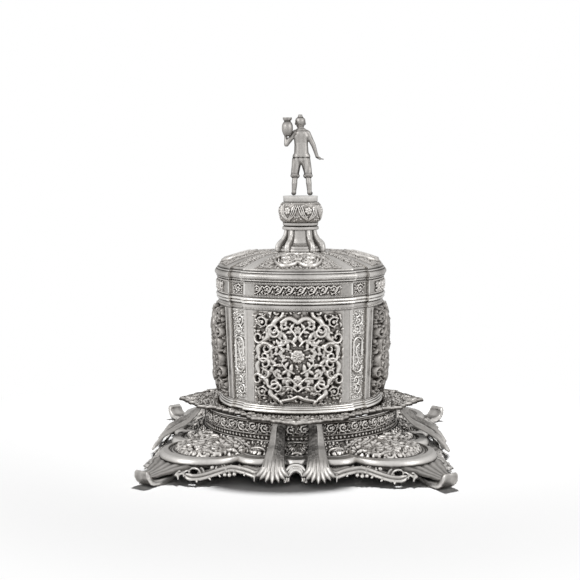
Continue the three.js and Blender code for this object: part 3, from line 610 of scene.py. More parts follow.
def upright_fillet(along):
    """A thin half-round fillet standing on the lobe"""
    z = np.linspace(field_low, field_high, 8)
    foot, normal = lobe_place(np.full(8, float(along)), z, body_half(z))
    side = np.stack([normal[:, 1], -normal[:, 0], 0 * z], -1)
    turn = np.linspace(0, np.pi, 7)[None, :, None]
    points = foot[:, None] + FILLET * (np.cos(turn) * side[:, None] + np.sin(turn) * normal[:, None])
    if not face_out(points, normal[:, None] + 0 * points):
        points = points[:, ::-1]
    return grid_piece(points, np.ones(points.shape[:2]))


inner, outer = PANEL_HALF + 0.6, UPRIGHT_HALF
fillets = join_pieces([upright_fillet(along) for along in (-outer, -inner, inner, outer)])
copies_round(fillets, "fillets_", ON_SIDES, "box", [], SATIN)
print("wall of", len(wall_stations), "stations, with sixteen fillets")

# %% [markdown]
# ## Relief panels
# A deep frame of fat C-scrolls surrounds a field of leaves and flowers. At the top the frame bends
# into two arches that meet in a cusp, and at the bottom into a bracket. All four sides carry the
# same panel, so the height map is drawn once and laid on each lobe.

# %% Panel field
panel = Field(2 * PANEL_HALF, field_high - field_low, 0.375)
# Points of each stem of the frame, then which way its two ends roll
FRAME = (
    ([(-14.2, 33.6), (-17.6, 31.2), (-21.0, 25.6)], (1, 1)),
    ([(-23.8, 21.8), (-23.4, 18.2), (-27.2, 14.4)], (-1, -1)),
    ([(-28.6, 11.4), (-32.0, 8.4), (-31.4, 2.2)], (-1, 1)),
    ([(-30.6, -2.6), (-33.0, -6.6), (-31.2, -12.6)], (-1, 1)),
    ([(-28.4, -15.0), (-25.6, -17.4), (-23.6, -21.6)], (1, 1)),
    ([(-21.2, -25.4), (-21.4, -30.0), (-15.4, -34.8)], (-1, -1)),
)
for points, hands in FRAME:
    panel.curl(points, 2.5, 4.4, hands)
    for point, side in ((points[0], 0.8), (points[-1], -0.8)):
        outwards = math.atan2(point[1], point[0])
        panel.leaf(*point, 5.4, outwards + side, side, 1.6, 3.2)
ARCH_STEM = [(-12.4, 30.2), (-9.0, 32.8), (-4.6, 33.0), (0.0, 29.8)]
BRACKET_STEM = [(-12.8, -35.6), (-8.0, -34.6), (-4.0, -33.6), (0.0, -31.4)]
panel.stroke(curve_through(ARCH_STEM), 2.2, 3.4)
panel.stroke(curve_through(BRACKET_STEM), 2.0, 3.2)
panel.scroll(-28.8, -28.4, 4.6, 0.4, 1, 1.3, 3.8, turns=1.6, leaves=5)
panel.scroll(-28.6, 29.4, 4.8, 2.4, -1, 1.3, 3.8, turns=1.5, leaves=6)
FRONDS = (
    ([(-0.6, -27.0), (-5.4, -23.4), (-11.6, -23.6), (-15.6, -28.4), (-11.8, -31.0)], 1.5),
    ([(-0.6, -22.0), (-6.6, -16.0), (-14.6, -16.4), (-19.0, -12.0), (-15.6, -8.2)], 1.6),
    ([(-2.8, -12.0), (-8.8, -8.4), (-12.2, -2.8), (-9.6, 1.8)], 1.5),
    ([(-14.4, -4.6), (-20.6, -6.0), (-24.4, -1.6), (-22.4, 3.6), (-18.2, 3.0)], 1.5),
    ([(-5.0, 7.0), (-10.6, 8.6), (-14.4, 5.4), (-13.0, 1.6)], 1.3),
    ([(-1.6, 11.0), (-6.0, 15.4), (-12.4, 15.6), (-15.6, 20.0), (-12.2, 23.4)], 1.6),
    ([(-11.0, 11.4), (-16.6, 10.2), (-21.4, 8.0), (-25.0, 11.4)], 1.4),
    ([(-1.0, 18.0), (-4.4, 23.6), (-9.0, 27.4), (-13.4, 28.4)], 1.4),
    ([(-24.0, -7.0), (-26.0, -11.6), (-22.6, -14.6)], 1.2),
)
for points, width in FRONDS:
    panel.frond(points, 1.3 * width, 3.3)
panel.mirrored()
for x, y, size, petals in ((0, 2.0, 6.4, 8), (0, 24.4, 3.4, 6), (0, -16.8, 4.0, 7)):
    panel.flower(x, y, size, petals, 3.7)
    panel.flower(x, y, size * 0.5, petals - 2, 4.5)
panel.fill(2500, 1.8, 2.9)
panel.fill(4000, 1.2, 2.3)
panel.soft()
panel_tone = panel.tone(0.66, 0.46, reach=7)
# The sheet is blown out like a cushion behind the relief
CUSHION = 3.0
cushion = CUSHION * (1 - (panel.x[None] / PANEL_HALF) ** 4) * (1 - (2 * panel.y[:, None] / panel.height) ** 4)
print("panel field", panel.h.shape, "up to", round(panel.h.max(), 2), "mm")

# %% Panels on four sides
X, Y = np.meshgrid(panel.x, panel.y)
Z = Y + (field_low + field_high) / 2
points, normals = lobe_place(X, Z, body_half(Z))
# The front and back panels share one skin. Those at the sides swell further and carry painted shade, darker
# than the front
skins = [
    relief_skin(points + normals * 0.2, normals, panel.h + cushion * swell, panel_tone * share)
    for share, swell in ((1.03, 1.0), (0.56, 1.65))
]
for k, side in enumerate(SIDES):
    copy = turned_copy(skins[k % 2], k)
    finish_piece(copy, "relief_panel_" + side, "box", ["panel_" + side], RELIEF)
for skin in skins:
    bpy.data.objects.remove(skin)
print("four relief panels")

# %% [markdown]
# ## Corner strips
# Each sunk corner holds a narrow strip with a long round-ended cartouche in the middle, an S-scroll
# inside it, and leaves above and below.

# %% Corner strips
strip = Field(15.4, field_high - field_low, 0.34)
for sign in (-1, 1):
    strip.scroll(0.8, sign * 29.6, 4.4, -1.2 * sign, sign, 0.85, 1.2, leaves=6)
    strip.scroll(-0.6, sign * 21.4, 3.8, 2.0 * sign, -sign, 0.8, 1.1, leaves=6)
    strip.leaf(0, sign * 17.4, 4.0, sign * 1.57, 0.4, 0.9, 1.1)
strip.curl([(-1.6, -8.6), (1.4, -5.4), (-0.2, 0), (-1.4, 5.4), (1.6, 8.6)], 0.8, 1.1)
strip.fill(700, 0.7, 0.8)
loop = np.linspace(0, 2 * np.pi, 80)
stadium = np.stack([5.0 * np.cos(loop), 5.0 * np.sin(loop) + np.sign(np.sin(loop)) * 9.6], 1)
strip.stroke(stadium, 0.95, 1.7)
strip_tone = strip.tone(0.70, 0.40, reach=4)
X, Y = np.meshgrid(strip.x, strip.y)
Z = Y + (field_low + field_high) / 2
points, normals = corner_place(X, Z, body_half(Z))
first = relief_skin(points + normals * 0.2, normals, strip.h, strip_tone)
copies_round(first, "cartouche_strip_", ON_CORNERS, "box", ["corner_strip_"], POLISHED)
print("four corner strips")

# %% [markdown]
# ## Base moulding, lid skirt and cornice
# These are drawn mouldings: a few steps and rounds carried round the plan. The rounds are polished
# by use, and tarnish stays in the grooves between them.

# %% Mouldings


def rounded(half, start, end, z0, z1, bulge, tone, steps=7, groove=0.14):
    """Stations of a half-round between two heights, from offset start to end"""
    stations = []
    for t in np.linspace(0, 1, steps):
        swell = math.sin(math.pi * t)
        offset, height = start + (end - start) * t + bulge * swell, z0 + (z1 - z0) * t
        stations.append([half, offset, height, groove + (tone - groove) * swell**0.35])
    return stations


m0 = low("base_moulding")
MOULDING_REACH = 3.4
# How far each round stands back at its foot and its top, from which height to which, and its bulge
ROUNDS = ((0.4, 0.4, 0.1, 3.6, 0.7), (0.9, 1.1, 3.7, 5.4, 0.4), (1.7, 2.0, 5.5, 7.0, 0.4))
moulding = [[BODY_HALF, 0.3, m0, 0.2], [BODY_HALF, MOULDING_REACH - 0.5, m0, 0.5]]
for back, back_above, z0, z1, bulge in ROUNDS:
    start, end = MOULDING_REACH - back, MOULDING_REACH - back_above
    moulding += rounded(BODY_HALF, start, end, m0 + z0, m0 + z1, bulge, tone=1.0, groove=0.5)
moulding += [[BODY_HALF, 0.6, m0 + 7.4, 0.6], [BODY_HALF, 0.3, m0 + 8.0, 0.2]]
finish_piece(plan_sweep(moulding), "foot_moulding", "box", ["base_moulding"], POLISHED)
beading = bead_row(body_half(field_low), 0.4, field_low - 1.0, 0.62)
finish_piece(beading, "foot_beading", "box", [], RELIEF)

s0, s1 = low("lid_skirt"), high("lid_skirt")
SKIRT = 72.4
FRIEZE_LOW, FRIEZE_HIGH = s0 + 7.4, s1 - 1.9
skirt = [[SKIRT, -1.6, s0, 0.2], [SKIRT, -0.2, s0, 0.3]]
skirt += rounded(SKIRT, -0.1, 0.0, s0 + 0.1, s0 + 2.3, 0.7, tone=0.95, groove=0.3)
skirt += rounded(SKIRT, 0.2, 0.1, s0 + 2.5, s0 + 5.2, 1.1, tone=1.0, steps=9, groove=0.35)
skirt += [[SKIRT, -0.5, s0 + 5.4, 0.12], [SKIRT, -0.5, s0 + 5.9, 0.5], [SKIRT, -0.5, s1 - 1.4, 0.52]]
skirt += [[SKIRT, -0.2, s1 - 0.4, 0.4], [SKIRT, 0, s1, 0.3], [SKIRT, -1.6, s1, 0.3]]
finish_piece(plan_sweep(skirt), "skirt", "lid", ["lid_skirt"], POLISHED)
for number, height in enumerate((s0 + 6.5, s1 - 0.9)):
    beading = bead_row(SKIRT, -0.4, height, 0.6)
    finish_piece(beading, f"skirt_beading_{number}", "lid", [], RELIEF)

c0, c1 = low("lid_cornice"), high("lid_cornice")
CORNICE = 69.5
cornice = [[CORNICE, 0, c0, 0.3], [CORNICE, 2.6, c0, 0.4]]
cornice += rounded(CORNICE, 2.9, 3.5, c0 + 0.1, c0 + 1.6, 0.5, tone=0.8)
cornice += rounded(CORNICE, 3.7, 3.9, c0 + 1.8, c1 - 1.8, 1.3, tone=0.82, steps=13)
cornice += rounded(CORNICE, 3.2, 2.6, c1 - 1.6, c1 - 0.2, 0.4, tone=0.9)
cornice += [[CORNICE, 2.0, c1, 0.3], [CORNICE, 0, c1, 0.3]]
finish_piece(plan_sweep(cornice), "cornice", "lid", ["lid_cornice"], SATIN)
print("three mouldings and four rows of beads")

# %% [markdown]
# ## Frieze of the lid
# A running scroll fills the middle of each side of the skirt, and a small square of leaves fills
# each corner. The scroll is drawn as one repeat and stamped along the band.

# %% Frieze
frieze = Field(2 * PANEL_HALF, FRIEZE_HIGH - FRIEZE_LOW, 0.3)
REPEAT = 9.2
for k in range(-4, 4):
    x = (k + 0.5) * REPEAT
    frieze.scroll(x - 1.9, 1.0, 2.5, 2.6, -1, 0.75, 1.5, leaves=4)
    frieze.curl([(x - 3.9, -3.0), (x - 0.4, -1.4), (x + 2.2, 3.0), (x + 4.2, 2.0)], 0.75, 1.6)
    frieze.leaf(x + 1.0, -2.6, 3.2, 0.5, 0.8, 0.8, 1.3)
frieze.fill(700, 0.6, 0.9)
frieze_tone = frieze.tone(0.57, 0.50, reach=4)
X, Y = np.meshgrid(frieze.x, frieze.y)
middle = (FRIEZE_LOW + FRIEZE_HIGH) / 2
points, normals = lobe_place(X, Y + middle, SKIRT)
first = relief_skin(points - normals * 0.4, normals, frieze.h, frieze_tone)
copies_round(first, "frieze_", ON_SIDES, "lid", [], RELIEF)
square = Field(13.0, FRIEZE_HIGH - FRIEZE_LOW, 0.3)
square.scroll(0.4, 0.2, 3.4, 0.6, 1, 0.8, 1.2, leaves=6)
square.fill(250, 0.7, 0.8)
X, Y = np.meshgrid(square.x, square.y)
points, normals = corner_place(X, Y + middle, SKIRT)
first = relief_skin(points - normals * 0.3, normals, square.h, square.tone(0.5, 0.42, reach=4))
copies_round(first, "leaf_square_", ON_CORNERS, "lid", [], RELIEF)
print("four friezes and four squares")

# %% [markdown]
# ## Roof of the lid
# The roof rises in a shallow dome. On each side lies a cartouche whose lower edge has two lobes,
# with foliage round it. A plain bright strip runs up each end of a lobe, and a chased strip runs
# up each corner.

# %% Roof
r0, r1 = low("lid_roof"), high("lid_roof")
EAVE, ROOF_TOP, EAVE_RISE = 71.5, 25.0, 1.2
CARTOUCHE_SHARE = 0.79


def roof_height(half):
    share = np.clip((EAVE - half) / (EAVE - ROOF_TOP), 0, 1)
    return r0 + EAVE_RISE + (r1 - r0 - EAVE_RISE) * np.sin(share * np.pi / 2) ** 0.85


roof = [[EAVE, -1.6, r0, 0.3], [EAVE, 0, r0, 0.3], [EAVE - 0.3, 0, r0 + EAVE_RISE, 0.7]]
roof += [[half, 0, float(roof_height(half)), 0.93] for half in np.linspace(EAVE - 1.5, ROOF_TOP, 18)]
roof += [[4.6, 0, r1, 0.6], [4.6, 0, r1 - 1.6, 0.3]]
roof += [[half, -1.0, float(roof_height(half)) - 1.6, 0.3] for half in np.linspace(ROOF_TOP, EAVE - 8, 6)]
finish_piece(plan_sweep(roof), "roof", "lid", ["lid_roof"], SATIN)

# %% Roof cartouches
cartouche = Field(80.0, 46.0, 0.34)
CARTOUCHE_OUT = 48.5
OUTER_RIM = [(0, 12.6), (3.4, 16.0), (9.0, 18.6), (14.6, 16.4), (18.4, 9.6), (18.6, 2.0), (15.0, -4.6)]
UPPER_RIM = [(15.0, -4.6), (10.0, -9.6), (4.6, -10.8), (0, -9.4)]
BEADS = [(1.4, 11.2), (4.4, 14.0), (9.0, 16.2), (13.4, 14.2), (16.0, 8.8), (16.2, 2.6)]
cartouche.stroke(curve_through(OUTER_RIM, 10), 1.15, 2.9)
cartouche.stroke(curve_through(UPPER_RIM, 8), 0.9, 2.2)
for x, y in curve_through(BEADS, 4):
    cartouche.stamp(x, y, 0.75, 1.9)
for x, y, size, start, hand in ((8.2, 8.6, 4.2, 0.6, 1), (10.6, -1.6, 3.6, 2.5, -1)):
    cartouche.scroll(x, y, size, start, hand, 1.1, 2.4, leaves=6)
for x, y, size, start, hand in (
    (24.4, 15.0, 3.4, 1.0, 1), (31.4, 18.0, 3.0, -1.0, -1), (21.8, 7.4, 2.6, 1.4, 1),
    (25.6, 4.4, 2.2, 0.0, -1), (19.6, -4.4, 2.4, 1.0, 1), (14.6, -12.0, 2.2, 0.4, -1),
    (4.0, -15.4, 2.0, 1.4, 1), (9.8, -15.6, 1.8, -1.0, 1),
):
    cartouche.scroll(x, y, size, start, hand, 0.8, 1.3, leaves=5)
cartouche.mirrored()
cartouche.flower(0, 3.4, 3.8, 8, 2.7)
cartouche.fill(2200, 0.9, 1.0)
cartouche_tone = cartouche.tone(0.62, 0.38, reach=4)
halves = np.linspace(27.5, 70.0, 110)
shares = np.linspace(-CARTOUCHE_SHARE, CARTOUCHE_SHARE, 170)
H, S = np.meshgrid(halves, shares, indexing="ij")
radius = LOBE_RADIUS * H / PLAN_HALF
along, out = radius * np.sin(S * LOBE_ANGLE), H - radius * (1 - np.cos(S * LOBE_ANGLE))
height = cartouche.sample(cartouche.h, along, out - CARTOUCHE_OUT)
tone = cartouche.sample(cartouche_tone, along, out - CARTOUCHE_OUT)
border = np.exp(-(((CARTOUCHE_SHARE * 0.965 - np.abs(S)) / 0.02) ** 2))
height, tone = np.maximum(height, 0.9 * border), np.maximum(tone, border)
points = np.stack([along, -out, roof_height(H) + 0.12], -1)
normals = np.broadcast_to(np.array([0.0, -0.2, 0.98]), points.shape)
first = relief_skin(points, normals, height, tone)
copies_round(first, "roof_relief_", ON_SIDES, "lid", ["roof_cartouche_"], RELIEF)

# %% Roof rays
ray = Field(14.0, 42.0, 0.32)
for k in range(-4, 5):
    hand = 1 if k % 2 else -1
    ray.scroll(hand * 0.8, k * 4.9, 3.0, hand * 1.2, hand, 0.75, 1.0, leaves=5)
ray.fill(500, 0.6, 0.6)
X, Y = np.meshgrid(ray.x, ray.y)
half = 49.0 + Y
points, normals = corner_place(X * half / 70.0, roof_height(half) + 0.12, half)
normals = np.broadcast_to(np.array([0.15, -0.15, 0.977]), points.shape)
first = relief_skin(points, normals, ray.h, ray.tone(0.62, 0.42, reach=4))
copies_round(first, "roof_ray_", ON_CORNERS, "lid", [], RELIEF)
print("roof, four cartouches and four rays")

# %% [markdown]
# ## Neck
# Eight curved legs rise from the roof into a ring, in pairs on either side of each diagonal. Each
# leg ends below in a rounded scroll, and between the pairs stand plain panels on a small plinth.

# %% Neck
n0, n1 = low("neck"), high("neck")
LEG_ANGLES = np.radians([30, 60, 120, 150, 210, 240, 300, 330])
LEG_SHARES = [0.0, 0.05, 0.15, 0.25, 0.33, 0.43, 0.58, 0.70, 0.74]
LEG_REACH = [24.3, 24.5, 24.4, 23.8, 22.3, 18.9, 16.3, 15.6, 15.5]
PANEL_SHARES = [0.0, 0.03, 0.10, 0.12, 0.19, 0.22, 0.30, 0.45, 0.74]
PANEL_REACH = [21.2, 21.4, 21.0, 19.9, 19.6, 17.8, 15.6, 14.2, 13.4]
RING_SHARES = [0.74, 0.75, 0.78, 0.845, 0.86, 0.87, 0.89, 0.90, 0.93, 0.985, 1.0]
RING_REACH = [14.6, 15.6, 15.9, 15.7, 15.2, 14.6, 14.6, 15.2, 15.3, 15.5, 15.0]
RING_TONE = [0.1, 0.6, 0.85, 0.8, 0.5, 0.05, 0.05, 0.5, 0.8, 0.7, 0.3]
angles = np.linspace(0, 2 * np.pi, 481)
S, A = np.meshgrid(np.linspace(0, 0.74, 75), angles, indexing="ij")
leg_reach, panel_reach = np.interp(S, LEG_SHARES, LEG_REACH), np.interp(S, PANEL_SHARES, PANEL_REACH)
apart = np.min([np.abs((A - leg + np.pi) % (2 * np.pi) - np.pi) for leg in LEG_ANGLES], axis=0) * leg_reach
leg_half = np.interp(S, [0, 0.3, 0.74], [3.0, 2.5, 2.1])
leg = np.sqrt(np.clip(1 - (apart / leg_half) ** 2, 0, 1))
radius = panel_reach + (leg_reach - panel_reach) * leg**0.6
tone = np.where(leg > 0, 0.42 + 0.5 * leg, 0.70 - 0.45 * np.exp(-(((apart - leg_half) / 0.9) ** 2)))
tone *= 1 - 0.6 * np.exp(-((S / 0.03) ** 2))
neck_rows = np.stack([radius * np.cos(A), radius * np.sin(A), n0 + S * (n1 - n0)], -1)


def ring_rows(shares, reaches):
    level, turn = np.meshgrid(shares, angles, indexing="ij")
    reach = np.broadcast_to(np.array(reaches)[:, None], level.shape)
    return np.stack([reach * np.cos(turn), reach * np.sin(turn), n0 + level * (n1 - n0)], -1)


rows = [ring_rows([0.0], [5.0]), neck_rows, ring_rows(RING_SHARES, RING_REACH), ring_rows([1.0], [4.0])]
tones = [tone[:1] * 0.3, tone, np.array(RING_TONE)[:, None] + 0 * angles, tone[:1] * 0.3]
neck = grid_piece(np.concatenate(rows), np.concatenate(tones), closes=True)
finish_piece(neck, "legged_neck", "lid", ["neck"], SATIN)
print("neck of", len(neck.data.vertices), "points")

# %% [markdown]
# ## Bulb and drum
# The bulb is chased with six flowers, each over a V of long curved leaves. The drum on it is plain.

# %% Bulb and drum
k0, k1 = low("knob"), high("knob")
BULB, BULB_FOOT = 18.6, 15.2
bulb = Field(2 * np.pi * BULB, k1 - k0, 0.34)
for k in range(6):
    x = (k - 2.1) * bulb.width / 6
    x -= bulb.width * (x > bulb.width / 2)
    bulb.flower(x, 1.4, 3.6, 6, 1.5)
    bulb.flower(x - 5.2, -0.6, 1.9, 5, 1.2)
    bulb.flower(x + 5.0, 3.4, 1.7, 5, 1.2)
    for shift in (0.0, 1.7, 3.4):
        for sign in (-1, 1):
            top, middle = (x + sign * (9.6 - shift), 5.6), (x + sign * (6.4 - shift), -2.6)
            bulb.stroke(curve_through([top, middle, (x + sign * 0.4, -7.4 + shift * 0.5)]), 0.62, 1.1)
bulb.fill(500, 0.9, 0.8)
swell = np.cos(np.pi * bulb.y / bulb.height)[:, None] ** 0.75
fade = np.clip(swell * 2.5, 0, 1)
angle = bulb.x[None] / (bulb.width / (2 * np.pi))
radius = BULB_FOOT + 0.4 + (BULB - BULB_FOOT - 0.6) * swell + bulb.h * fade * 0.8
height = bulb.y[:, None] + (k0 + k1) / 2 + 0 * angle
points = np.stack([radius * np.cos(angle), radius * np.sin(angle), height], -1)
points[:, -1] = points[:, 0]
cap_low, cap_high = points[:1].copy(), points[-1:].copy()
for cap in (cap_low, cap_high):
    cap[..., :2] *= 0.2
tones = np.pad(bulb.tone(0.64, 0.34, reach=5), ((1, 1), (0, 0)), mode="edge")
bulb_piece = grid_piece(np.concatenate([cap_low, points, cap_high]), tones, closes=True)
finish_piece(bulb_piece, "bulb", "lid", ["knob"], RELIEF)

d0, d1 = low("finial_drum"), high("finial_drum")
drum = [[3.0, d0, 0.3], [14.6, d0, 0.2], [14.9, d0 + 0.4, 0.6], [14.9, d0 + 3.0, 0.7], [15.2, d1 - 0.5, 0.85]]
drum += [[14.9, d1, 0.8], [13.4, d1, 0.6], [0.0, d1, 0.55]]
finish_piece(turned(drum), "drum", "lid", ["finial_drum"], POLISHED)
print("bulb and drum")

# %% [markdown]
# ## Figure
# The figure stands with its back to the front, in a short jacket and knee breeches, with a topknot
# and bare shins. Rounded limbs are set one into another and then remeshed with small voxels, which
# melts them into one cast form, as a founder's wax would be.

# %% Figure limbs
f0 = low("figure")
FIGURE_HEIGHT = 70.3


def limb(start, end, r0, r1, flat=1.0):
    """A round-ended limb between two (x, y, share of height) points, flat from front to back"""
    a = np.array([start[0], start[1], start[2] * FIGURE_HEIGHT])
    b = np.array([end[0], end[1], end[2] * FIGURE_HEIGHT])
    axis = (b - a) / np.linalg.norm(b - a)
    side = np.cross(axis, (0, 1, 0) if abs(axis[1]) < 0.8 else (1, 0, 0))
    side /= np.linalg.norm(side)
    front = np.cross(side, axis)
    angles = np.linspace(0, 2 * np.pi, 21)
    rows = []
    for cap in np.linspace(-np.pi / 2, np.pi / 2, 14):
        centre, r = (a, r0) if cap < 0 else (b, r1)
        ring = r * np.cos(cap) * (np.cos(angles)[:, None] * side + np.sin(angles)[:, None] * front)
        ring[:, 1] *= flat
        rows.append(centre + axis * r * np.sin(cap) + ring)
    points = np.stack(rows) + np.array([0, 0, f0])
    return grid_piece(points, np.full(points.shape[:2], 0.6), closes=True)


LEGS = [
    # shoes
    ((-6.4, 3.8, 0.026), (-5.6, -1.4, 0.032), 1.7, 2.1), ((8.9, 4.0, 0.026), (7.9, -1.2, 0.032), 1.7, 2.1),
    # shins
    ((-5.6, -0.8, 0.04), (-5.1, -1.0, 0.15), 1.9, 2.5), ((-5.1, -1.0, 0.15), (-4.6, -0.3, 0.25), 2.5, 2.2),
    ((7.9, -0.6, 0.04), (7.3, -0.9, 0.15), 1.9, 2.5), ((7.3, -0.9, 0.15), (6.6, -0.3, 0.25), 2.5, 2.2),
    # breeches and their cuffs
    ((-4.7, -0.3, 0.265), (-2.9, 0, 0.44), 3.6, 4.3), ((6.7, -0.3, 0.265), (4.3, 0, 0.44), 3.6, 4.3),
    ((-6.4, -0.3, 0.243), (-2.8, -0.3, 0.240), 2.3, 2.3), ((4.6, -0.3, 0.240), (8.4, -0.3, 0.243), 2.3, 2.3),
]
TRUNK = [
    ((-2.4, 0, 0.44), (4.0, 0, 0.44), 4.4, 4.4), ((-1.4, 0, 0.47), (3.2, 0, 0.47), 5.4, 5.4, 0.8),
    ((0.9, 0, 0.50), (0.7, 0, 0.62), 6.6, 5.9, 0.74), ((0.7, 0, 0.62), (0.6, 0, 0.74), 5.9, 6.6, 0.68),
    ((-4.2, 0, 0.765), (5.4, 0, 0.762), 2.9, 2.9), ((-3.0, 0, 0.72), (4.2, 0, 0.72), 3.6, 3.6),
    ((0.2, -0.1, 0.79), (0.1, 0.2, 0.85), 2.5, 2.3),
]
HEAD = [
    ((0, 0.1, 0.885), (0, 0.3, 0.866), 4.4, 3.7), ((0, -0.6, 0.905), (0, -0.3, 0.90), 4.5, 4.5),
    ((-0.9, -0.6, 0.975), (-0.9, -0.6, 0.978), 0.95, 0.95),
    ((0.9, -0.6, 0.975), (0.9, -0.6, 0.978), 0.95, 0.95),
    ((0, -0.8, 0.980), (0, -0.8, 0.984), 1.0, 1.0), ((0, -0.6, 0.955), (0, -0.6, 0.965), 2.2, 2.0),
]
ARMS = [
    ((-5.0, 0, 0.762), (-12.0, 1.2, 0.625), 2.5, 2.0), ((-12.2, 1.3, 0.625), (-12.6, 2.2, 0.72), 2.0, 1.35),
    ((-12.6, 2.0, 0.72), (-12.8, 0.2, 0.758), 1.4, 1.2), ((-12.4, 0.0, 0.755), (-10.0, -1.0, 0.748), 1.1, 0.9),
    ((6.2, 0, 0.758), (11.2, 0.7, 0.615), 2.7, 2.0), ((11.2, 0.7, 0.615), (14.4, 1.5, 0.475), 2.0, 1.4),
    ((14.2, 1.5, 0.472), (17.0, 2.0, 0.452), 1.4, 1.2), ((16.8, 2.0, 0.452), (19.6, 2.4, 0.444), 0.95, 0.6),
]
# The face is a plain calm one: nose, lips, brows, cheeks, chin and ears on a smooth oval
FACE = [
    ((0, 4.9, 0.888), (0, 5.3, 0.868), 0.45, 0.75), ((-0.9, 4.5, 0.846), (0.9, 4.5, 0.846), 0.42, 0.42),
    ((-2.0, 4.5, 0.897), (-0.8, 4.8, 0.897), 0.35, 0.35), ((0.8, 4.8, 0.897), (2.0, 4.5, 0.897), 0.35, 0.35),
    ((-1.5, 4.3, 0.882), (-1.4, 4.3, 0.882), 0.6, 0.6), ((1.4, 4.3, 0.882), (1.5, 4.3, 0.882), 0.6, 0.6),
    ((0, 3.9, 0.830), (0, 3.8, 0.827), 1.0, 1.0),
    ((-4.3, 0.3, 0.880), (-4.3, 0.3, 0.866), 0.7, 0.5), ((4.3, 0.3, 0.880), (4.3, 0.3, 0.866), 0.7, 0.5),
]
LIMBS = LEGS + TRUNK + HEAD + ARMS + FACE
cast = join_pieces([limb(*each) for each in LIMBS])
print("limbs joined:", len(LIMBS))

# %% Figure cast
melt = cast.modifiers.new("melt", "REMESH")
melt.mode = "VOXEL"
melt.voxel_size = 0.33 * MM
bpy.ops.object.modifier_apply(modifier=melt.name)
ease = cast.modifiers.new("ease", "SMOOTH")
ease.factor = 0.5
ease.iterations = 7
bpy.ops.object.modifier_apply(modifier=ease.name)
places = np.empty(len(cast.data.vertices) * 3, np.float32)
cast.data.vertices.foreach_get("co", places)
places = places.reshape(-1, 3) / MM
share = (places[:, 2] - f0) / FIGURE_HEIGHT
cloth = np.clip((share - 0.25) * 30, 0, 1) * np.clip((0.78 - share) * 30, 0, 1)
folds = cloth * np.sin(places[:, 0] * 1.6 + 0.8 * np.sin(share * 30)) * np.where(share < 0.47, 1.0, 0.35)
seams = np.zeros(len(share))
# Hem of the jacket, foot and top of the cuffs, collar and hairline, as shares of the height
for level, deep in ((0.462, 1.0), (0.222, 0.9), (0.270, 0.5), (0.79, 0.6), (0.952, 0.8)):
    seams += deep * np.exp(-(((share - level) / 0.007) ** 2))
normals = np.empty(len(cast.data.vertices) * 3, np.float32)
cast.data.vertices.foreach_get("normal", normals)
normals = normals.reshape(-1, 3)
places += normals * (0.14 * folds - 0.28 * seams)[:, None]
places[:, 2] = np.clip(places[:, 2], f0, f0 + FIGURE_HEIGHT - 0.9)
cast.data.vertices.foreach_set("co", (places * MM).ravel())
layer = cast.data.attributes.get("tone") or cast.data.attributes.new("tone", "FLOAT", "POINT")
shoes = np.clip((0.055 - share) * 60, 0, 1)
# Painted shade: the figure is darkened where it faces sideways or downwards, and its shoes are darker too
painted_shade_and_shoes = 0.26 * np.abs(normals[:, 0]) ** 2 + 0.2 * np.clip(-normals[:, 2], 0, 1) + 0.25 * shoes
tone = np.clip(0.60 + 0.12 * folds - 0.5 * seams - painted_shade_and_shoes, 0.02, 1)
layer.data.foreach_set("value", tone.astype(np.float32))
cast.data.update()
finish_piece(cast, "standing_figure", "lid", ["figure"], SATIN, angle=180.0)
print("figure of", len(cast.data.vertices), "points")

# %% [markdown]
# ## Jar
# The jar on the figure's shoulder is a small turned pot with a short neck and a broad lip.

# %% Jar
j0, j1 = low("jar"), high("jar")
jar_centre = [(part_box("jar")[0][i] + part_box("jar")[1][i]) / 2 / MM for i in range(2)]
# Radius, share of the height and tone: the belly, then the neck, the lip and the mouth
pot = [[0, 0, 0.3], [2.4, 0, 0.3], [3.5, 0.10, 0.4], [4.6, 0.28, 0.55], [4.85, 0.44, 0.65], [4.6, 0.60, 0.65]]
pot += [[3.7, 0.73, 0.5], [2.9, 0.78, 0.12], [2.8, 0.83, 0.15], [3.7, 0.88, 0.5], [3.95, 0.94, 0.6]]
pot += [[3.9, 1.0, 0.5], [3.3, 1.0, 0.3], [2.4, 0.9, 0.05], [0, 0.88, 0.05]]
jar = turned([[r, j0 + share * (j1 - j0), 0.88 * tone] for r, share, tone in pot], steps=48)
jar.data.transform(Matrix.Translation((jar_centre[0] * MM, jar_centre[1] * MM, 0)))
finish_piece(jar, "shoulder_jar", "lid", ["jar"], SATIN, angle=70.0)
print("jar")

# %% [markdown]
# ## Base plate of the stand
# The plate is dished: it falls from the collar to a smooth raised band that follows a lobed edge.
# Its outline is the far side of a few circles, the widest at each corner. Two fine lines run
# inside the band.

# %% Base plate
CORNER_LOBE, SIDE_LOBE, MIDDLE_LOBE = (76.0, 76.0, 38.0), (30.0, 90.0, 21.0), (0.0, 100.0, 13.0)
COLLAR = 84.0
BASE_TOP = high("base_plate")
DISH, BAND, HOLE, LINES = 8.3, 9.6, 70.0, 4.2


def base_reach(angle):
    """Distance to the edge, for angles from the middle of the front side"""
    local = np.abs(angle - np.round(angle / (np.pi / 2)) * np.pi / 2)
    best = np.zeros_like(local)
    for along, out, radius in (CORNER_LOBE, SIDE_LOBE, MIDDLE_LOBE):
        distance = math.hypot(along, out)
        offset = local - math.atan2(along, out)
        inside = radius**2 - (distance * np.sin(offset)) ** 2
        far = distance * np.cos(offset) + np.sqrt(np.clip(inside, 0, None))
        best = np.maximum(best, np.where(inside >= 0, far, 0))
    return best


def dish_height(r, angle):
    share = np.clip((r - COLLAR - 2) / (base_reach(angle) - BAND - COLLAR - 2), 0, 1)
    return BASE_TOP - DISH * share**0.85


def ray_points(r, angle, height):
    x, y = r * np.sin(angle), -r * np.cos(angle)
    return np.stack([x, y, height + 0 * x], -1)


angles = np.linspace(0, 2 * np.pi, 1201)
edge = base_reach(angles)
rows, tones = [], []


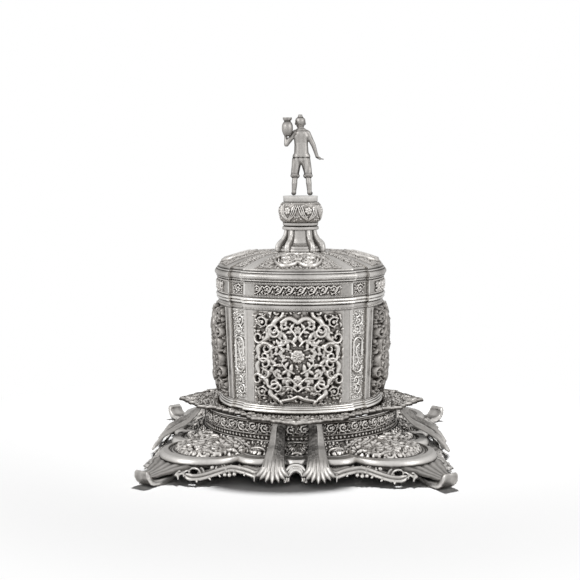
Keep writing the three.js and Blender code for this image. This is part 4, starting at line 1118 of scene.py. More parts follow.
def plate_row(r, height, tone):
    rows.append(ray_points(r + 0 * angles, angles, height + 0 * angles))
    tones.append(tone + 0 * angles)


for r in (HOLE, COLLAR - 4, COLLAR + 2):
    plate_row(r, BASE_TOP, 0.2)
for share in np.linspace(0.15, 1, 7):
    r = COLLAR + 2 + share * (edge - BAND - LINES - COLLAR - 2)
    plate_row(r, dish_height(r, angles), 0.35)
for inside in np.linspace(LINES, 0, 15):
    line = math.sin(2 * math.pi * inside / LINES * 1.5 + math.pi / 2)
    r = edge - BAND - inside
    plate_row(r, dish_height(r, angles) + 0.35 * max(line, 0), 0.45 + 0.35 * line)
for share in np.linspace(0, 1, 19):
    rise = 2.2 * min(1, share / 0.12) ** 0.5
    drop = 1.6 * share + 3.8 * max(0, (share - 0.70) / 0.30) ** 2
    crisp = min(1, share / 0.09, (1.0 - share) / 0.07)
    # Painted highlight: the outer part of the band, which turns down towards the floor, is made brighter
    tone = 0.08 + (0.86 if share > 0.6 else 0.70) * crisp
    plate_row(edge - BAND + BAND * share, BASE_TOP - DISH + rise - drop, tone)
for back, height in ((1.0, BASE_TOP - DISH - 5.6), (BAND, BASE_TOP - DISH - 1.6)):
    plate_row(edge - back, height, 0.2)
for r in (COLLAR + 2, HOLE):
    plate_row(r, BASE_TOP - 1.5, 0.2)
rows.append(rows[0])
tones.append(tones[0])
plate = grid_piece(np.stack(rows), np.stack(tones), closes=True)
finish_piece(plate, "dished_plate", "stand", ["base_plate"], SATIN, angle=50.0)
print("base plate of", len(plate.data.vertices), "points")

# %% [markdown]
# ## Foliage on the dished plate
# Each corner lobe holds fronds that spring from the collar and a row of curls along its rim. Each
# small lobe beside a strut holds a coiled flower, and the lobe between two struts a palmette.

# %% Plate reliefs
SPRAY_SHARES = (0.02, 0.985)


def plate_relief(field, centre_out, centre_along, span, cells, tone):
    """Lays a field on the dish between two angles, its own up pointing outwards"""
    middle = math.atan2(centre_along, centre_out)
    turns = np.radians(np.linspace(span[0], span[1], cells[1]))
    S, A = np.meshgrid(np.linspace(*SPRAY_SHARES, cells[0]), turns, indexing="ij")
    R = COLLAR + 2 + S * (base_reach(A) - BAND - LINES - COLLAR - 2)
    up = R * np.cos(A - middle) - math.hypot(centre_out, centre_along)
    across = R * np.sin(A - middle)
    ends = np.minimum(A - turns[0], turns[-1] - A) / math.radians(1.0)
    fade = np.clip(np.minimum((SPRAY_SHARES[1] - S) * 16, ends), 0, 1)
    points = ray_points(R, A, dish_height(R, A) + 0.15)
    normals = np.broadcast_to(np.array([0.0, 0.0, 1.0]), points.shape)
    heights = field.sample(field.h, across, up) * fade
    return relief_skin(points, normals, heights, field.sample(tone, across, up))


spray = Field(92.0, 60.0, 0.4)
SPRAY_FRONDS = (
    ([(2.0, -20.0), (4.0, -11.0), (9.0, -4.0), (14.6, -3.0), (17.0, -8.0), (13.0, -10.4)], 2.0),
    ([(5.0, -21.0), (13.0, -17.4), (21.6, -15.6), (27.0, -9.6), (24.4, -4.8), (20.0, -6.6)], 1.9),
    ([(15.0, -24.0), (24.0, -22.4), (32.6, -19.0), (36.0, -12.6)], 1.7),
    ([(1.2, -4.0), (5.0, 3.0), (11.4, 6.6), (15.6, 4.0), (13.0, 0.6)], 1.7),
    ([(16.0, 1.0), (20.6, -0.6), (24.0, 2.4)], 1.4),
    ([(30.0, -24.0), (38.0, -22.0), (42.0, -18.0)], 1.5),
)
for points, width in SPRAY_FRONDS:
    spray.frond(points, width, 3.0)
LOBE_MIDDLE, CURL_REACH = -4.5, 22.4
for number, angle in enumerate(np.radians((-8, 16, 40, 64, 84))):
    x, y = CURL_REACH * math.cos(angle), LOBE_MIDDLE + CURL_REACH * math.sin(angle)
    spray.scroll(x, y, 5.2, angle - 1.9, 1 if number % 2 else -1, 1.35, 2.9, leaves=6)
    spray.leaf(x * 0.80, y * 0.80, 6.4, angle + 0.5, 0.7, 1.5, 2.6)
spray.mirrored()
spray.leaf(0, -17.0, 16.0, math.pi / 2, 0.0, 2.2, 3.0)
spray.flower(0, 3.0, 3.6, 7, 3.2)
spray.fill(2200, 1.7, 2.0)
spray.fill(2500, 1.1, 1.5)
spray_tone = spray.tone(0.52, 0.50, reach=6)
first = plate_relief(spray, 79.2, 79.2, (23.4, 66.6), (110, 200), spray_tone)
copies_round(first, "corner_spray_", ON_CORNERS, "stand", [], RELIEF)

coil = Field(40.0, 30.0, 0.34)
coil.stroke(np.stack([8.2 * np.cos(loop), 6.0 * np.sin(loop)], 1), 0.8, 1.6)
coil.scroll(0, 0, 4.6, 0.6, 1, 1.1, 2.2, leaves=7)
coil.flower(0, 0, 2.2, 6, 2.4)
coil.fill(700, 1.0, 1.2)
first = plate_relief(coil, 94.0, 33.5, (14.0, 24.0), (56, 70), coil.tone(0.45, 0.5, reach=5))
copies_round(first, "coil_", ON_HALF_SIDES, "stand", [], RELIEF)

palmette = Field(26.0, 30.0, 0.34)
for radius in (4.6, 7.2):
    half_turn = np.linspace(0.15, np.pi - 0.15, 40)
    palmette.stroke(np.stack([radius * np.cos(half_turn), 9.0 - radius * np.sin(half_turn)], 1), 0.8, 1.4)
for k in range(-3, 4):
    palmette.leaf(0.6 * k, -6.0, 6.4, math.pi / 2 - 0.32 * k, 0, 0.8, 1.5)
for sign in (-1, 1):
    palmette.scroll(sign * 5.6, -7.6, 2.8, 1.0, sign, 0.8, 1.5, leaves=5)
palmette.fill(500, 0.8, 0.9)
# Painted shade: the palmette is darker than the other reliefs on the plate, as it lies under the arch between
# two struts
first = plate_relief(palmette, 95.0, 0.0, (-7.4, 7.4), (50, 66), palmette.tone(0.34, 0.45, reach=5))
copies_round(first, "palmette_", ON_SIDES, "stand", [], RELIEF)
print("sprays, coils and palmettes on the plate")

# %% [markdown]
# ## Collar
# The collar stands on the plate and carries the gallery. Two chased bands run round it between
# plain fillets: a running scroll above and a row of small leaves below.

# %% Collar
w0, w1 = low("collar_ring"), high("collar_ring")
turn = 2 * np.pi * COLLAR
REPEATS, LEAF_COUNT = 24, 12
tile = Field(turn / REPEATS, w1 - w0, 0.4)
for hand, x in ((1, -tile.width / 4), (-1, tile.width / 4)):
    tile.scroll(x, 2.0, 3.3, hand * 1.4, hand, 0.85, 1.3, leaves=6)
for k in range(LEAF_COUNT):
    x = (k - 5.5) * tile.width / LEAF_COUNT
    tile.leaf(x, -7.2, 3.0, 0.9 if k % 2 else 2.2, 0.6, 0.6, 0.8)
tile.fill(500, 0.8, 0.8, inside=lambda x, y: -3.0 < y < 6.0)
for y, width in ((-8.5, 0.7), (-3.5, 0.5), (6.9, 0.5), (8.4, 0.7)):
    tile.line(y, width, 1.2)
band, band_tone = (np.tile(each[:, :-1], (1, REPEATS)) for each in (tile.h, tile.tone(0.42, 0.40, reach=4)))
band, band_tone = (np.concatenate([each, each[:, :1]], 1) for each in (band, band_tone))
angles = np.linspace(0, 2 * np.pi, band.shape[1])
radius = COLLAR - 0.3 + band * 0.75
points = ray_points(radius, angles[None] + 0 * radius, tile.y[:, None] + (w0 + w1) / 2 + 0 * radius)
inner_low, inner_high = points[:1].copy(), points[-1:].copy()
for inner in (inner_low, inner_high):
    inner[..., :2] *= (COLLAR - 2.5) / np.hypot(inner[..., 0], inner[..., 1])[..., None]
points = np.concatenate([inner_low, points, inner_high, inner_low])
tones = np.concatenate([band_tone[:1], band_tone, band_tone[-1:], band_tone[:1]])
collar = grid_piece(points, tones, closes=True)
finish_piece(collar, "chased_collar", "stand", ["collar_ring"], RELIEF)
print("collar")

# %% [markdown]
# ## Gallery plate
# A flat pierced plate spreads under the box, with a pointed leaf on each side. A bright wire runs
# round its edge, and each leaf holds a fan of ribs like a shell. Beside each leaf the real plate has a small
# opening that looks down on the collar; here each is a shallow dip painted dark, as painted shade for the hole.

# %% Gallery plate
g0, g1 = low("gallery_plate"), high("gallery_plate")
# Half of one side's edge, as (along, out) from the tip of the leaf to the corner
LEAF_EDGE = np.array([
    (0.0, 107.7), (5.2, 103.2), (10.2, 100.2), (15.4, 98.0), (20.4, 94.8), (24.2, 91.2), (29.0, 89.0),
    (34.0, 87.6), (37.4, 86.0), (39.6, 82.6), (41.4, 77.2), (43.0, 72.0), (49.4, 66.0), (55.0, 60.0),
])
INNER, FLAT, WIRE = 66.0, 62.0, 2.6
edge_angle, edge_reach = np.arctan2(*LEAF_EDGE.T), np.hypot(*LEAF_EDGE.T)


def gallery_reach(angle):
    local = np.abs(angle - np.round(angle / (np.pi / 2)) * np.pi / 2)
    return np.interp(local, edge_angle, edge_reach) + 0.9 * np.cos(64 * angle) * np.clip(8 * local, 0, 1)


gallery = Field(124.0, 92.0, 0.36)
GALLERY_OUT = 88.0
for k in range(-4, 5):
    gallery.leaf(0, 14.6, 11.5 - 0.6 * abs(k), -math.pi / 2 + 0.2 * k, 0.0, 1.2, 2.6)
gallery.curl([(3.4, 2.2), (8.8, 4.0), (11.4, 9.2)], 1.0, 1.7)
for x, y, size, start, hand in (
    (16.0, 3.6, 3.6, 0.5, 1), (13.0, -5.0, 3.0, 1.5, 1), (22.6, -6.0, 3.0, 2.0, -1),
    (37.0, -6.4, 3.8, -0.5, 1), (34.0, -13.6, 3.0, 1.5, -1), (44.0, -18.0, 4.0, 0.0, 1),
    (50.0, -25.0, 3.4, 1.0, -1), (53.6, -32.0, 3.2, 0.4, 1), (46.4, -31.6, 3.6, 2.2, -1),
    (38.6, -24.4, 3.6, 0.8, 1),
):
    gallery.scroll(x, y, size, start, hand, 1.0, 1.8, leaves=7)
gallery.mirrored()
gallery.fill(5000, 1.0, 1.2)
gallery_tone = gallery.tone(0.50, 0.5, reach=5)
angles = np.linspace(-np.pi / 4, np.pi / 4, 281)
S, A = np.meshgrid(np.linspace(0, 1, 60), angles, indexing="ij")
edge = gallery_reach(A)
R = INNER + S * (edge - INNER)
u, out = R * np.sin(A), R * np.cos(A)
rim = np.clip((R - edge + WIRE) / WIRE, 0, 1)
wire = np.sin(np.pi * np.clip(rim * 1.05, 0, 1))
within = np.clip((edge - WIRE - R) / 0.8, 0, 1)
height = gallery.sample(gallery.h, u, out - GALLERY_OUT) * within + 1.9 * wire**0.5
tone = np.where(rim > 0, 0.08 + 0.8 * wire**0.4, gallery.sample(gallery_tone, u, out - GALLERY_OUT))
# Painted shade: each opening is a shallow dip whose tone falls to black, standing for the dark hole
opening = np.clip((1 - ((np.abs(u) - 29) / 5.6) ** 2 - ((out - 83.4) / 2.2) ** 2) * 4, 0, 1)
height = height * (1 - opening) * np.clip(S * 12, 0, 1) - 1.0 * opening
tone = tone * (1 - opening)
# Painted shadow: the gallery is darkened in a narrow line along the foot of the box, where the box casts its
# shade
# (the first points of the plan are those of the front lobe)
foot = plan(BODY_HALF, MOULDING_REACH)[: len(LOBE_SHARES) + 1]
foot_reach = np.interp(A, np.arctan2(foot[:, 0], -foot[:, 1]), np.hypot(*foot.T))
tone *= 1 - 0.92 * np.exp(-((np.clip(R - foot_reach - 1.2, 0, None) / 1.3) ** 2)) * (R > foot_reach - 2)
top = ray_points(R, A, g1 - 0.4 + height)
under = ray_points(R, A, g0 + 0 * R)
flat = ray_points(FLAT + 0 * R[:1], A[:1], g1 - 0.4 + 0 * R[:1])
pole = np.array([0, 0, 1])
quarter = np.concatenate([under[:1] * pole, flat * pole, flat, top, under[::-7], under[:1] * pole])
ground = 0.55 + 0 * tone[:1]
quarter_tone = np.concatenate([ground, ground, ground, tone, tone[::-7] * 0 + 0.15, ground])
ring = np.concatenate([spin(quarter, k)[:, :-1] for k in range(4)], 1)
ring = np.concatenate([ring, ring[:, :1]], 1)
tones = np.concatenate([quarter_tone[:, :-1]] * 4, 1)
tones = np.concatenate([tones, tones[:, :1]], 1)
gallery_piece = grid_piece(ring, tones, closes=True)
finish_piece(gallery_piece, "gallery", "stand", ["gallery_plate"], RELIEF)
print("gallery plate of", ring.shape[:2])

# %% [markdown]
# ## Struts
# Eight struts lean against the collar and sweep down over the plate. Each is a broad strap bent
# along a sharp line: its outer face is plain and its inner face chased. Lower down it breaks into
# flutes, from which a fringe of ribbed leaves grows.

# %% Strut straps
STRUT_TOP_ALONG, STRUT_END_ALONG, STRUT_TOP_WIDTH, STRUT_END_WIDTH = 14.6, 18.0, 11.0, 20.0
BEND = 0.2
wall_out = COLLAR + 1.3
route = [
    (wall_out, w1), (wall_out + 1.3, w1 - 5), (wall_out + 6.0, w1 - 11.0), (wall_out + 13.2, w1 - 17.4),
    (105.5, 22.8), (112.4, 19.0), (118.4, 15.0), (123.0, 10.2),
]
out_line, height_line = curve_through(route, 9).T
slope = np.stack([np.gradient(out_line), np.gradient(height_line)], 1)
slope /= np.hypot(*slope.T)[:, None]
lift = np.stack([-slope[:, 1], slope[:, 0]], 1)
F, U = np.meshgrid(np.linspace(0, 1, len(out_line)), np.linspace(-1, 1, 51), indexing="ij")
middle = STRUT_TOP_ALONG + (STRUT_END_ALONG - STRUT_TOP_ALONG) * F
width = STRUT_TOP_WIDTH + (STRUT_END_WIDTH - STRUT_TOP_WIDTH) * F**1.5
along = middle + U * width / 2
roof_form = np.where(U > BEND, (1 - U) / (1 - BEND), (1 + U) / (1 + BEND))
engraved = np.sin(U * 19 + 2 * np.sin(F * 31)) * np.sin(F * 74 + 3 * np.sin(U * 8))
chasing = np.where(U < BEND - 0.08, 0.26 * engraved, 0.05 * engraved)
fan = np.clip((F - 0.62) / 0.28, 0, 1) ** 1.4
flutes = fan * np.abs(np.cos(3 * np.pi * U)) ** 0.7
swelling = (1 - 0.6 * fan) * roof_form**0.85 + 0.6 * fan * (1 - U**2)
thick = 0.7 + (2.9 - 0.9 * F) * swelling + chasing * (1 - fan) + 1.1 * flutes
thick *= np.clip((1 - np.abs(U)) * 14 + 0.3, 0, 1) * (1 - 0.5 * np.clip((F - 0.84) / 0.16, 0, 1))


def strut_points(raised):
    out = out_line[:, None] + lift[:, :1] * raised
    height = height_line[:, None] + lift[:, 1:] * raised
    return np.stack([along, -out, height], -1)


top, under = strut_points(thick), strut_points(0 * thick)
loop = np.concatenate([top, under[:, ::-1], top[:, :1]], 1)
# The outer face is lighter than the chased inner face, partly from the chasing and partly as painted shade on
# the face turned from the light. A painted highlight runs along the fold
face_tone = (1 - fan) * (np.where(U > BEND, 0.54, 0.36) + 0.8 * chasing) + 0.24 * fan + 0.5 * flutes
fold_highlight = (1 - fan) * np.exp(-(((U - BEND) / 0.045) ** 2))
edge_tone = np.clip((1 - np.abs(U)) * 9, 0, 1)
tone_top = (face_tone + 0.4 * fold_highlight) * (0.3 + 0.7 * edge_tone)
tones = np.concatenate([tone_top, 0 * tone_top + 0.15, tone_top[:, :1]], 1)
strap = grid_piece(*capped(loop, tones), closes=True)
print("strap of a strut")

# %% Ribbed band


def ribbed_band(path, halves, normal, ridges, crown, tone, thick=1.0, groove=0.35):
    """A band along (n, 3) points, raised along its middle, with grooves between its ridges"""
    path = np.asarray(path, float)
    halves = np.broadcast_to(np.asarray(halves, float), len(path))
    tangent = np.gradient(path, axis=0)
    tangent /= np.linalg.norm(tangent, axis=1)[:, None]
    normal = np.asarray(normal, float) / np.linalg.norm(normal)
    side = np.cross(tangent, normal)
    side /= np.linalg.norm(side, axis=1)[:, None]
    u = np.linspace(-1, 1, 6 * ridges + 1)
    grooves = 0.5 - 0.5 * np.cos(np.pi * ridges * (u + 1))
    size = (halves / halves.max()) ** 0.5
    raised = crown * size[:, None] * (np.sqrt(1 - 0.9 * u**2) * (0.55 + 0.45 * grooves))[None]
    across = side[:, None] * (u[None] * halves[:, None])[..., None]
    top = path[:, None] + across + normal * raised[..., None]
    under = path[:, None] + across - normal * (thick * size)[:, None, None]
    loop = np.concatenate([top, under[:, ::-1], top[:, :1]], 1)
    shade = tone * (groove + (1 - groove) * grooves) * (1 - 0.3 * u**6)
    tone_top = np.broadcast_to(shade[None], top.shape[:2])
    tones = np.concatenate([tone_top, 0 * tone_top + 0.2, tone_top[:, :1]], 1)
    return grid_piece(*capped(loop, tones), closes=True)


# %% Shell fringe and the whole strut
end_out, end_height = out_line[-1], height_line[-1]
down = slope[-1]
FRINGE_NORMAL = (0.0, -lift[-1, 0], lift[-1, 1])
FRINGE_LEAVES = 7
leaves = []
for number in range(FRINGE_LEAVES):
    across = 2 * number / (FRINGE_LEAVES - 1) - 1
    angle, length = 0.50 * across, 13.8 - 3.8 * abs(across) ** 1.4
    t = np.linspace(0, 1, 12)
    turn = angle * (0.55 + 0.75 * t)
    x = STRUT_END_ALONG + 7.4 * across + length * t * np.sin(turn)
    gone = length * t * np.cos(turn) - 4.6
    path = np.stack([x, -(end_out + down[0] * gone), end_height + down[1] * gone], 1)
    halves = 2.5 * np.clip(1.2 * np.sin(np.pi * (0.30 + 0.70 * t)) ** 0.7, 0.10, 1)
    leaves.append(ribbed_band(path, halves, FRINGE_NORMAL, ridges=1, crown=2.2, thick=0.8, tone=0.86))
first = join_pieces([strap] + leaves)
copies_round(first, "shell_strut_", ON_HALF_SIDES, "stand", ["strut_"], SATIN)
print("eight struts")

# %% [markdown]
# ## Apron
# The apron is one cast border, pierced in a few places. A two-ridged band waves along it from the
# strut to a hook near the corner, with a pendant leaf, three drops and a berry. It is drawn as
# raised work, and where nothing is raised the sheet is cut away, as a piercing saw would do.

# %% Apron drawing
APRON_BREAK, APRON_HEIGHT, APRON_SLOPE = 110.0, 12.4, 0.53
APRON_MIDDLE = (60.0, 113.0)
apron = Field(76.0, 30.0, 0.4)


def apron_place(points):
    """(along, out) to places on the drawing"""
    return [(x - APRON_MIDDLE[0], y - APRON_MIDDLE[1]) for x, y in points]


def two_ridges(points, width):
    path = curve_through(apron_place(points), 9)
    heading = np.gradient(path, axis=0)
    side = np.stack([-heading[:, 1], heading[:, 0]], 1) / np.hypot(*heading.T)[:, None]
    taper = np.clip(np.minimum(np.arange(len(path)), np.arange(len(path))[::-1]) / 8 + 0.35, 0, 1)[:, None]
    apron.stroke(path, np.maximum(width * taper[:, 0], 0.8), 1.1)
    ridge = np.maximum(0.42 * width * taper[:, 0], 0.5)
    for sign in (-1, 1):
        apron.stroke(path + sign * 0.52 * width * taper * side, ridge, 2.3)


WAVE = [(24.0, 114.4), (28.0, 117.4), (32.0, 118.6), (37.5, 116.2), (44.0, 114.0)]
WAVE += [(51.0, 112.8), (57.0, 114.4)]
SWEEP = [(52.0, 112.8), (58.0, 114.8), (64.3, 117.6), (70.2, 120.2), (76.0, 122.0)]
SWEEP += [(82.0, 122.2), (87.4, 119.2)]
HOOK = [(73.4, 120.2), (74.2, 116.6), (76.4, 113.2), (80.4, 111.4), (85.0, 112.6)]
HOOK += [(89.6, 116.2), (95.0, 120.0)]
LINK = [(55.0, 113.6), (57.6, 110.6), (59.4, 107.6)]
for points, width in ((WAVE, 3.9), (SWEEP, 3.7), (HOOK, 2.9), (LINK, 1.7)):
    two_ridges(points, width)
# Pointed leaves that hang from the bands
for points, width in (
    ([(32.0, 119.0), (32.2, 125.6)], 2.0), ([(44.0, 112.0), (45.4, 107.0), (44.6, 103.6)], 1.8),
    ([(89.0, 116.0), (88.0, 122.0)], 2.1), ([(93.4, 118.4), (92.0, 124.4)], 2.2),
    ([(85.0, 113.6), (84.0, 118.6)], 1.9),
):
    path = curve_through(apron_place(points), 9)
    apron.stroke(path, np.linspace(width, 0.4, len(path)), 2.2)
# Low webs that join the bands to the plate
for points in (
    [(24.0, 112.6), (30.0, 113.2), (36.0, 112.0), (41.0, 109.6)],
    [(52.0, 108.8), (57.0, 111.0), (61.0, 112.8)],
    [(67.0, 114.6), (71.0, 116.4), (76.0, 117.6)],
):
    apron.stroke(curve_through(apron_place(points), 9), 2.8, 1.4)
# Three drops and two berries, small spurs on both edges, and a row of beads along the plate
DROPS = ((48.4, 118.6, 1.9), (52.2, 119.4, 2.0), (55.8, 119.2, 1.9), (66.6, 111.4, 2.2), (63.2, 113.0, 1.5))
SPURS = (
    (27.0, 118.8, 1.9), (40.0, 117.4, 1.2), (60.6, 118.8, 1.9), (68.0, 122.0, 1.9), (77.0, 124.0, 1.3),
    (79.0, 109.8, -1.6), (62.4, 109.4, -1.2), (52.0, 109.6, -1.8),
)
for along, out, radius in DROPS:
    apron.stamp(*apron_place([(along, out)])[0], radius, 2.6)
    apron.stamp(*apron_place([(along, out - 1.6)])[0], radius * 0.8, 2.2)
for along, out, heading in SPURS:
    apron.leaf(*apron_place([(along, out)])[0], 3.6, heading, 0.5, 1.2, 2.0)
for along in np.arange(28.0, 56.0, 1.9):
    apron.stamp(*apron_place([(along, 109.6 + 1.4 * math.cos((along - 28.0) / 9.0))])[0], 0.85, 1.3)
print("apron drawn, with", int((apron.h > 0.25).sum()), "raised cells")

# %% Apron, cut out and thickened
CUT, SHEET = 0.3, 1.2
X, Y = np.meshgrid(apron.x + APRON_MIDDLE[0], apron.y + APRON_MIDDLE[1])
Z = APRON_HEIGHT - APRON_SLOPE * np.maximum(Y - APRON_BREAK, 0)
apron_normal = np.array([0.0, -APRON_SLOPE, 1.0]) / math.hypot(APRON_SLOPE, 1)
points = np.stack([X, -Y, Z], -1) + apron_normal * (apron.h[..., None] - 0.6)
sheet = grid_piece(points[:, ::-1], apron.tone(0.60, 0.36, reach=4)[:, ::-1])
keep = (apron.h > CUT)[:, ::-1]
whole = keep[:-1, :-1] & keep[1:, :-1] & keep[:-1, 1:] & keep[1:, 1:]
sheet.data.polygons.foreach_set("select", ~whole.ravel())
sheet.data.vertices.foreach_set("select", np.zeros(len(sheet.data.vertices), bool))
sheet.data.edges.foreach_set("select", np.zeros(len(sheet.data.edges), bool))
bpy.context.view_layer.objects.active = sheet
bpy.context.tool_settings.mesh_select_mode = (False, False, True)
bpy.ops.object.mode_set(mode="EDIT")
bpy.ops.mesh.delete(type="FACE")
bpy.ops.object.mode_set(mode="OBJECT")
bpy.context.tool_settings.mesh_select_mode = (True, False, False)
thicken = sheet.modifiers.new("thicken", "SOLIDIFY")
thicken.thickness = SHEET * MM
thicken.offset = -1.0
bpy.ops.object.modifier_apply(modifier=thicken.name)
print("eight lengths of apron, each of", len(sheet.data.polygons), "faces")
copies_round(sheet, "lace_", ON_HALF_SIDES, "stand", ["apron_"], SATIN, angle=60.0)

# %% [markdown]
# ## Arches and corner tongues
# A broad three-ridged horseshoe fills the gap between two struts. On each corner a veined leaf
# lies over the root of the foot.

# %% Arches
ARCH_RADIUS, ARCH_HALF = 8.1, 3.9
ARCH_TOP_OUT, ARCH_TOP_HEIGHT = 115.6, 13.0
ARCH_NORMAL = (0.0, -0.85, 0.53)
phi = np.linspace(-0.36, np.pi + 0.36, 48)
drop = 1.1 * ARCH_RADIUS * (1 - np.sin(phi))
across, out, height = 0.9 * ARCH_RADIUS * np.cos(phi), ARCH_TOP_OUT + drop * 0.53, ARCH_TOP_HEIGHT - drop * 0.85
path = np.stack([across, -out, height], 1)
halves = ARCH_HALF * (0.62 + 0.38 * np.sin(np.linspace(0, np.pi, 48)))
arch = ribbed_band(path, halves, ARCH_NORMAL, ridges=3, crown=1.9, tone=1.0, groove=0.72)
copies_round(arch, "scroll_arch_", ON_SIDES, "stand", ["arch_"], POLISHED, angle=50.0)
print("four arches")

# %% Corner tongues
tongue_route = curve_through([(137.0, 13.4), (146.0, 11.6), (154.0, 9.2), (162.0, 7.2), (169.0, 6.0)], 7)
diagonal, t = math.sqrt(0.5) * tongue_route[:, 0], np.linspace(0, 1, len(tongue_route))
path = np.stack([diagonal, -diagonal, tongue_route[:, 1]], 1)
widths = np.interp(t, [0, 0.25, 0.5, 0.75, 0.92, 1], [23.0, 20.0, 14.0, 10.0, 8.4, 5.0])
widths *= 0.92 + 0.12 * np.abs(np.sin(9.5 * t))
tongue = ribbed_band(path, widths, (0.26, -0.26, 0.93), ridges=5, crown=1.6, thick=1.6, tone=0.66, groove=0.55)
copies_round(tongue, "corner_tongue_", ON_CORNERS, "stand", [], SATIN, angle=50.0)
print("four tongues")

# %% [markdown]
# ## Feet
# Each foot is a broad strap that runs out along a diagonal from under a corner lobe, lies flat on
# the table, and curls up into a roll at its end. Hammer marks make it a little uneven.

# %% Feet
FOOT_ROOT, FOOT_WIDTH = 92.0, 16.0
FOOT_TIPS = {"front": (121.0, 132.0), "back": (132.0, 131.0)}
# Share of the way to the tip, and height
FOOT_KEYS = [
    (0.0, 12.0), (0.14, 10.6), (0.28, 6.6), (0.42, 3.4), (0.56, 2.5), (0.74, 2.5), (0.85, 3.6),
    (0.92, 7.0), (0.945, 10.6), (0.93, 12.8),
]
for corner in CORNERS:
    tip_x, tip_y = FOOT_TIPS[corner.split("_")[0]]
    sign_x = 1 if corner.endswith("right") else -1
    sign_y = -1 if corner.startswith("front") else 1
    root = np.array([sign_x * FOOT_ROOT, sign_y * FOOT_ROOT])
    tip = np.array([sign_x * tip_x, sign_y * tip_y])
    heading = (tip - root) / np.hypot(*(tip - root))
    sideways = np.array([-heading[1], heading[0]])
    line = curve_through(FOOT_KEYS, steps=7)
    line[:, 0] *= np.hypot(*(tip - root))
    tangent = np.gradient(line, axis=0)
    tangent /= np.hypot(*tangent.T)[:, None]
    normal = np.stack([-tangent[:, 1], tangent[:, 0]], 1)
    s = np.linspace(0, 1, len(line))
    half_thick = np.interp(s, [0, 0.3, 0.75, 0.9, 0.97, 1], [2.2, 2.5, 2.3, 2.1, 2.2, 1.7])
    half_width = FOOT_WIDTH / 2 * np.interp(s, [0, 0.2, 0.8, 0.92, 1.0], [0.85, 0.97, 1.0, 0.9, 0.78])
    across = np.linspace(-1, 1, 33)
    loop_u = np.concatenate([across, across[::-1], across[:1]])
    loop_v = np.concatenate([np.ones(33), -np.ones(33), np.ones(1)])
    edge_round = np.sqrt(np.clip(1 - np.clip((np.abs(loop_u) - 0.86) / 0.14, 0, 1) ** 2, 0, 1))
    uneven = np.sin(2.3 * loop_u + 7 * s[:, None]) * np.sin(3.7 * loop_u - 11 * s[:, None])
    profile = (loop_v * edge_round)[None] * (1 + 0.07 * uneven)
    planar = line[:, None] + normal[:, None] * (profile * half_thick[:, None])[..., None]
    flat_xy = root + heading * planar[..., :1] + sideways * (loop_u[None] * half_width[:, None])[..., None]
    points = np.concatenate([flat_xy, np.maximum(planar[..., 1:], 0)], -1)
    shade = 0.60 + 0.16 * uneven + 0.2 * (np.abs(loop_u) > 0.82)
    foot = grid_piece(*capped(points, shade), closes=True)
    finish_piece(foot, "scroll_foot_" + corner, "stand", ["foot_" + corner], SATIN)
print("four feet")

# %% [markdown]
# ## Hidden pieces
# The bezel, the tray, the stud and its nut show only when the box is open. Their solids have the
# right shape, so they keep it and take a plain silver with a fine grain.

# %% Finish of the inner pieces
inner = bpy.data.materials.new("inner silver")
inner.use_nodes = True
nodes, links = inner.node_tree.nodes, inner.node_tree.links
shader = nodes["Principled BSDF"]
shader.inputs["Metallic"].default_value = 1.0
shader.inputs["Roughness"].default_value = 0.36
place = nodes.new("ShaderNodeTexCoord")
cloud = nodes.new("ShaderNodeTexNoise")
cloud.inputs["Scale"].default_value = 45.0
cloud.inputs["Detail"].default_value = 6.0
links.new(place.outputs["Object"], cloud.inputs["Vector"])
colours = nodes.new("ShaderNodeValToRGB")
colours.color_ramp.elements[0].position = 0.3
colours.color_ramp.elements[0].color = (0.42, 0.40, 0.38, 1)
colours.color_ramp.elements[1].position = 0.7
colours.color_ramp.elements[1].color = (0.64, 0.62, 0.60, 1)
links.new(cloud.outputs["Fac"], colours.inputs["Fac"])
links.new(colours.outputs["Color"], shader.inputs["Base Color"])
for name in ("lid_bezel", "tray", "finial_stud", "finial_nut"):
    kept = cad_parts[name]
    kept.data.materials.clear()
    kept.data.materials.append(inner)
print("four inner pieces finished")

# %% [markdown]
# ## Floor and light
# The object stands on white paper that runs away into a white background. The paper is a plane
# that takes the shadow near the object and glows to plain white further out.

# %% Floor
FLOOR_SIZE, PAPER_WHITE, FADE_START, FADE_END = 12.0, 0.93, 0.20, 0.40
free_selection()
bpy.ops.mesh.primitive_plane_add(size=FLOOR_SIZE, location=(0, 0, 0))
floor = bpy.context.active_object
floor.name = "floor"
paper = bpy.data.materials.new("paper")
paper.use_nodes = True
nodes, links = paper.node_tree.nodes, paper.node_tree.links
shader = nodes["Principled BSDF"]
shader.inputs["Base Color"].default_value = (PAPER_WHITE, PAPER_WHITE, PAPER_WHITE, 1)
shader.inputs["Roughness"].default_value = 0.9
shader.inputs["Specular IOR Level"].default_value = 0.1
glow = nodes.new("ShaderNodeEmission")
glow.inputs["Color"].default_value = (1, 1, 1, 1)
glow.inputs["Strength"].default_value = 1.0
place = nodes.new("ShaderNodeTexCoord")
away = nodes.new("ShaderNodeVectorMath")
away.operation = "LENGTH"
links.new(place.outputs["Object"], away.inputs[0])
fade = nodes.new("ShaderNodeMapRange")
fade.interpolation_type = "SMOOTHSTEP"
fade.inputs["From Min"].default_value = FADE_START
fade.inputs["From Max"].default_value = FADE_END
links.new(away.outputs["Value"], fade.inputs["Value"])
blend = nodes.new("ShaderNodeMixShader")
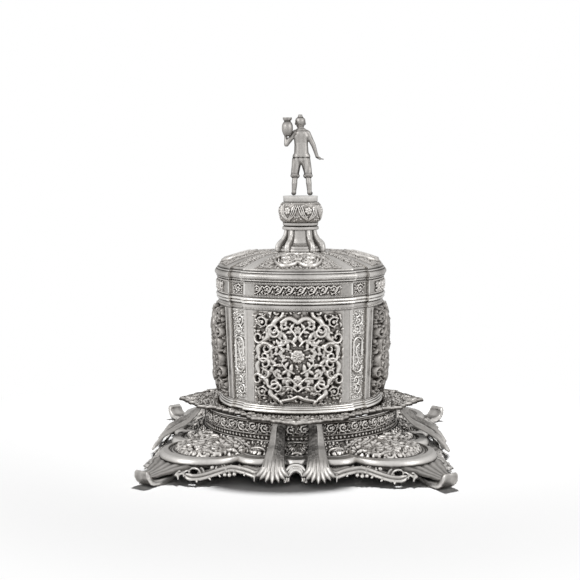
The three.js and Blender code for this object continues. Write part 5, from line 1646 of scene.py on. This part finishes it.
links.new(fade.outputs["Result"], blend.inputs["Fac"])
links.new(shader.outputs["BSDF"], blend.inputs[1])
links.new(glow.outputs["Emission"], blend.inputs[2])
links.new(blend.outputs["Shader"], nodes["Material Output"].inputs["Surface"])
floor.data.materials.append(paper)

# %% World and lamps
SHADE_LIGHT, LAMP_AIM = 0.10, Vector((0, 0, 0.12))
world = bpy.data.worlds.new("studio")
bpy.context.scene.world = world
world.use_nodes = True
nodes, links = world.node_tree.nodes, world.node_tree.links
plain = nodes["Background"]
plain.inputs["Color"].default_value = (1, 1, 1, 1)
plain.inputs["Strength"].default_value = SHADE_LIGHT
white = nodes.new("ShaderNodeBackground")
white.inputs["Color"].default_value = (1, 1, 1, 1)
white.inputs["Strength"].default_value = 1.0
rays = nodes.new("ShaderNodeLightPath")
seen = rays.outputs["Is Camera Ray"]
for kind in ("Is Glossy Ray", "Is Transmission Ray"):
    either = nodes.new("ShaderNodeMath")
    either.operation = "MAXIMUM"
    links.new(seen, either.inputs[0])
    links.new(rays.outputs[kind], either.inputs[1])
    seen = either.outputs["Value"]
blend = nodes.new("ShaderNodeMixShader")
links.new(seen, blend.inputs["Fac"])
links.new(plain.outputs["Background"], blend.inputs[1])
links.new(white.outputs["Background"], blend.inputs[2])
links.new(blend.outputs["Shader"], nodes["World Output"].inputs["Surface"])


def softbox(name, location, size, power):
    lamp = bpy.data.lights.new(name, "AREA")
    lamp.size = size
    lamp.energy = power
    holder = bpy.data.objects.new(name, lamp)
    bpy.context.scene.collection.objects.link(holder)
    holder.location = location
    direction = LAMP_AIM - holder.location
    holder.rotation_euler = direction.to_track_quat("-Z", "Y").to_euler()
    return holder


# The lamp above lights the floor and draws the shadow, the two at the front only gleam on the metal
softbox("above_and_behind", (0.10, 0.50, 1.45), 0.11, 26.0).visible_glossy = False
softbox("left", (-0.95, -0.75, 0.80), 0.6, 4.0).visible_diffuse = False
softbox("right", (1.05, -0.65, 0.75), 0.6, 3.2).visible_diffuse = False
print("floor, world and three lamps")
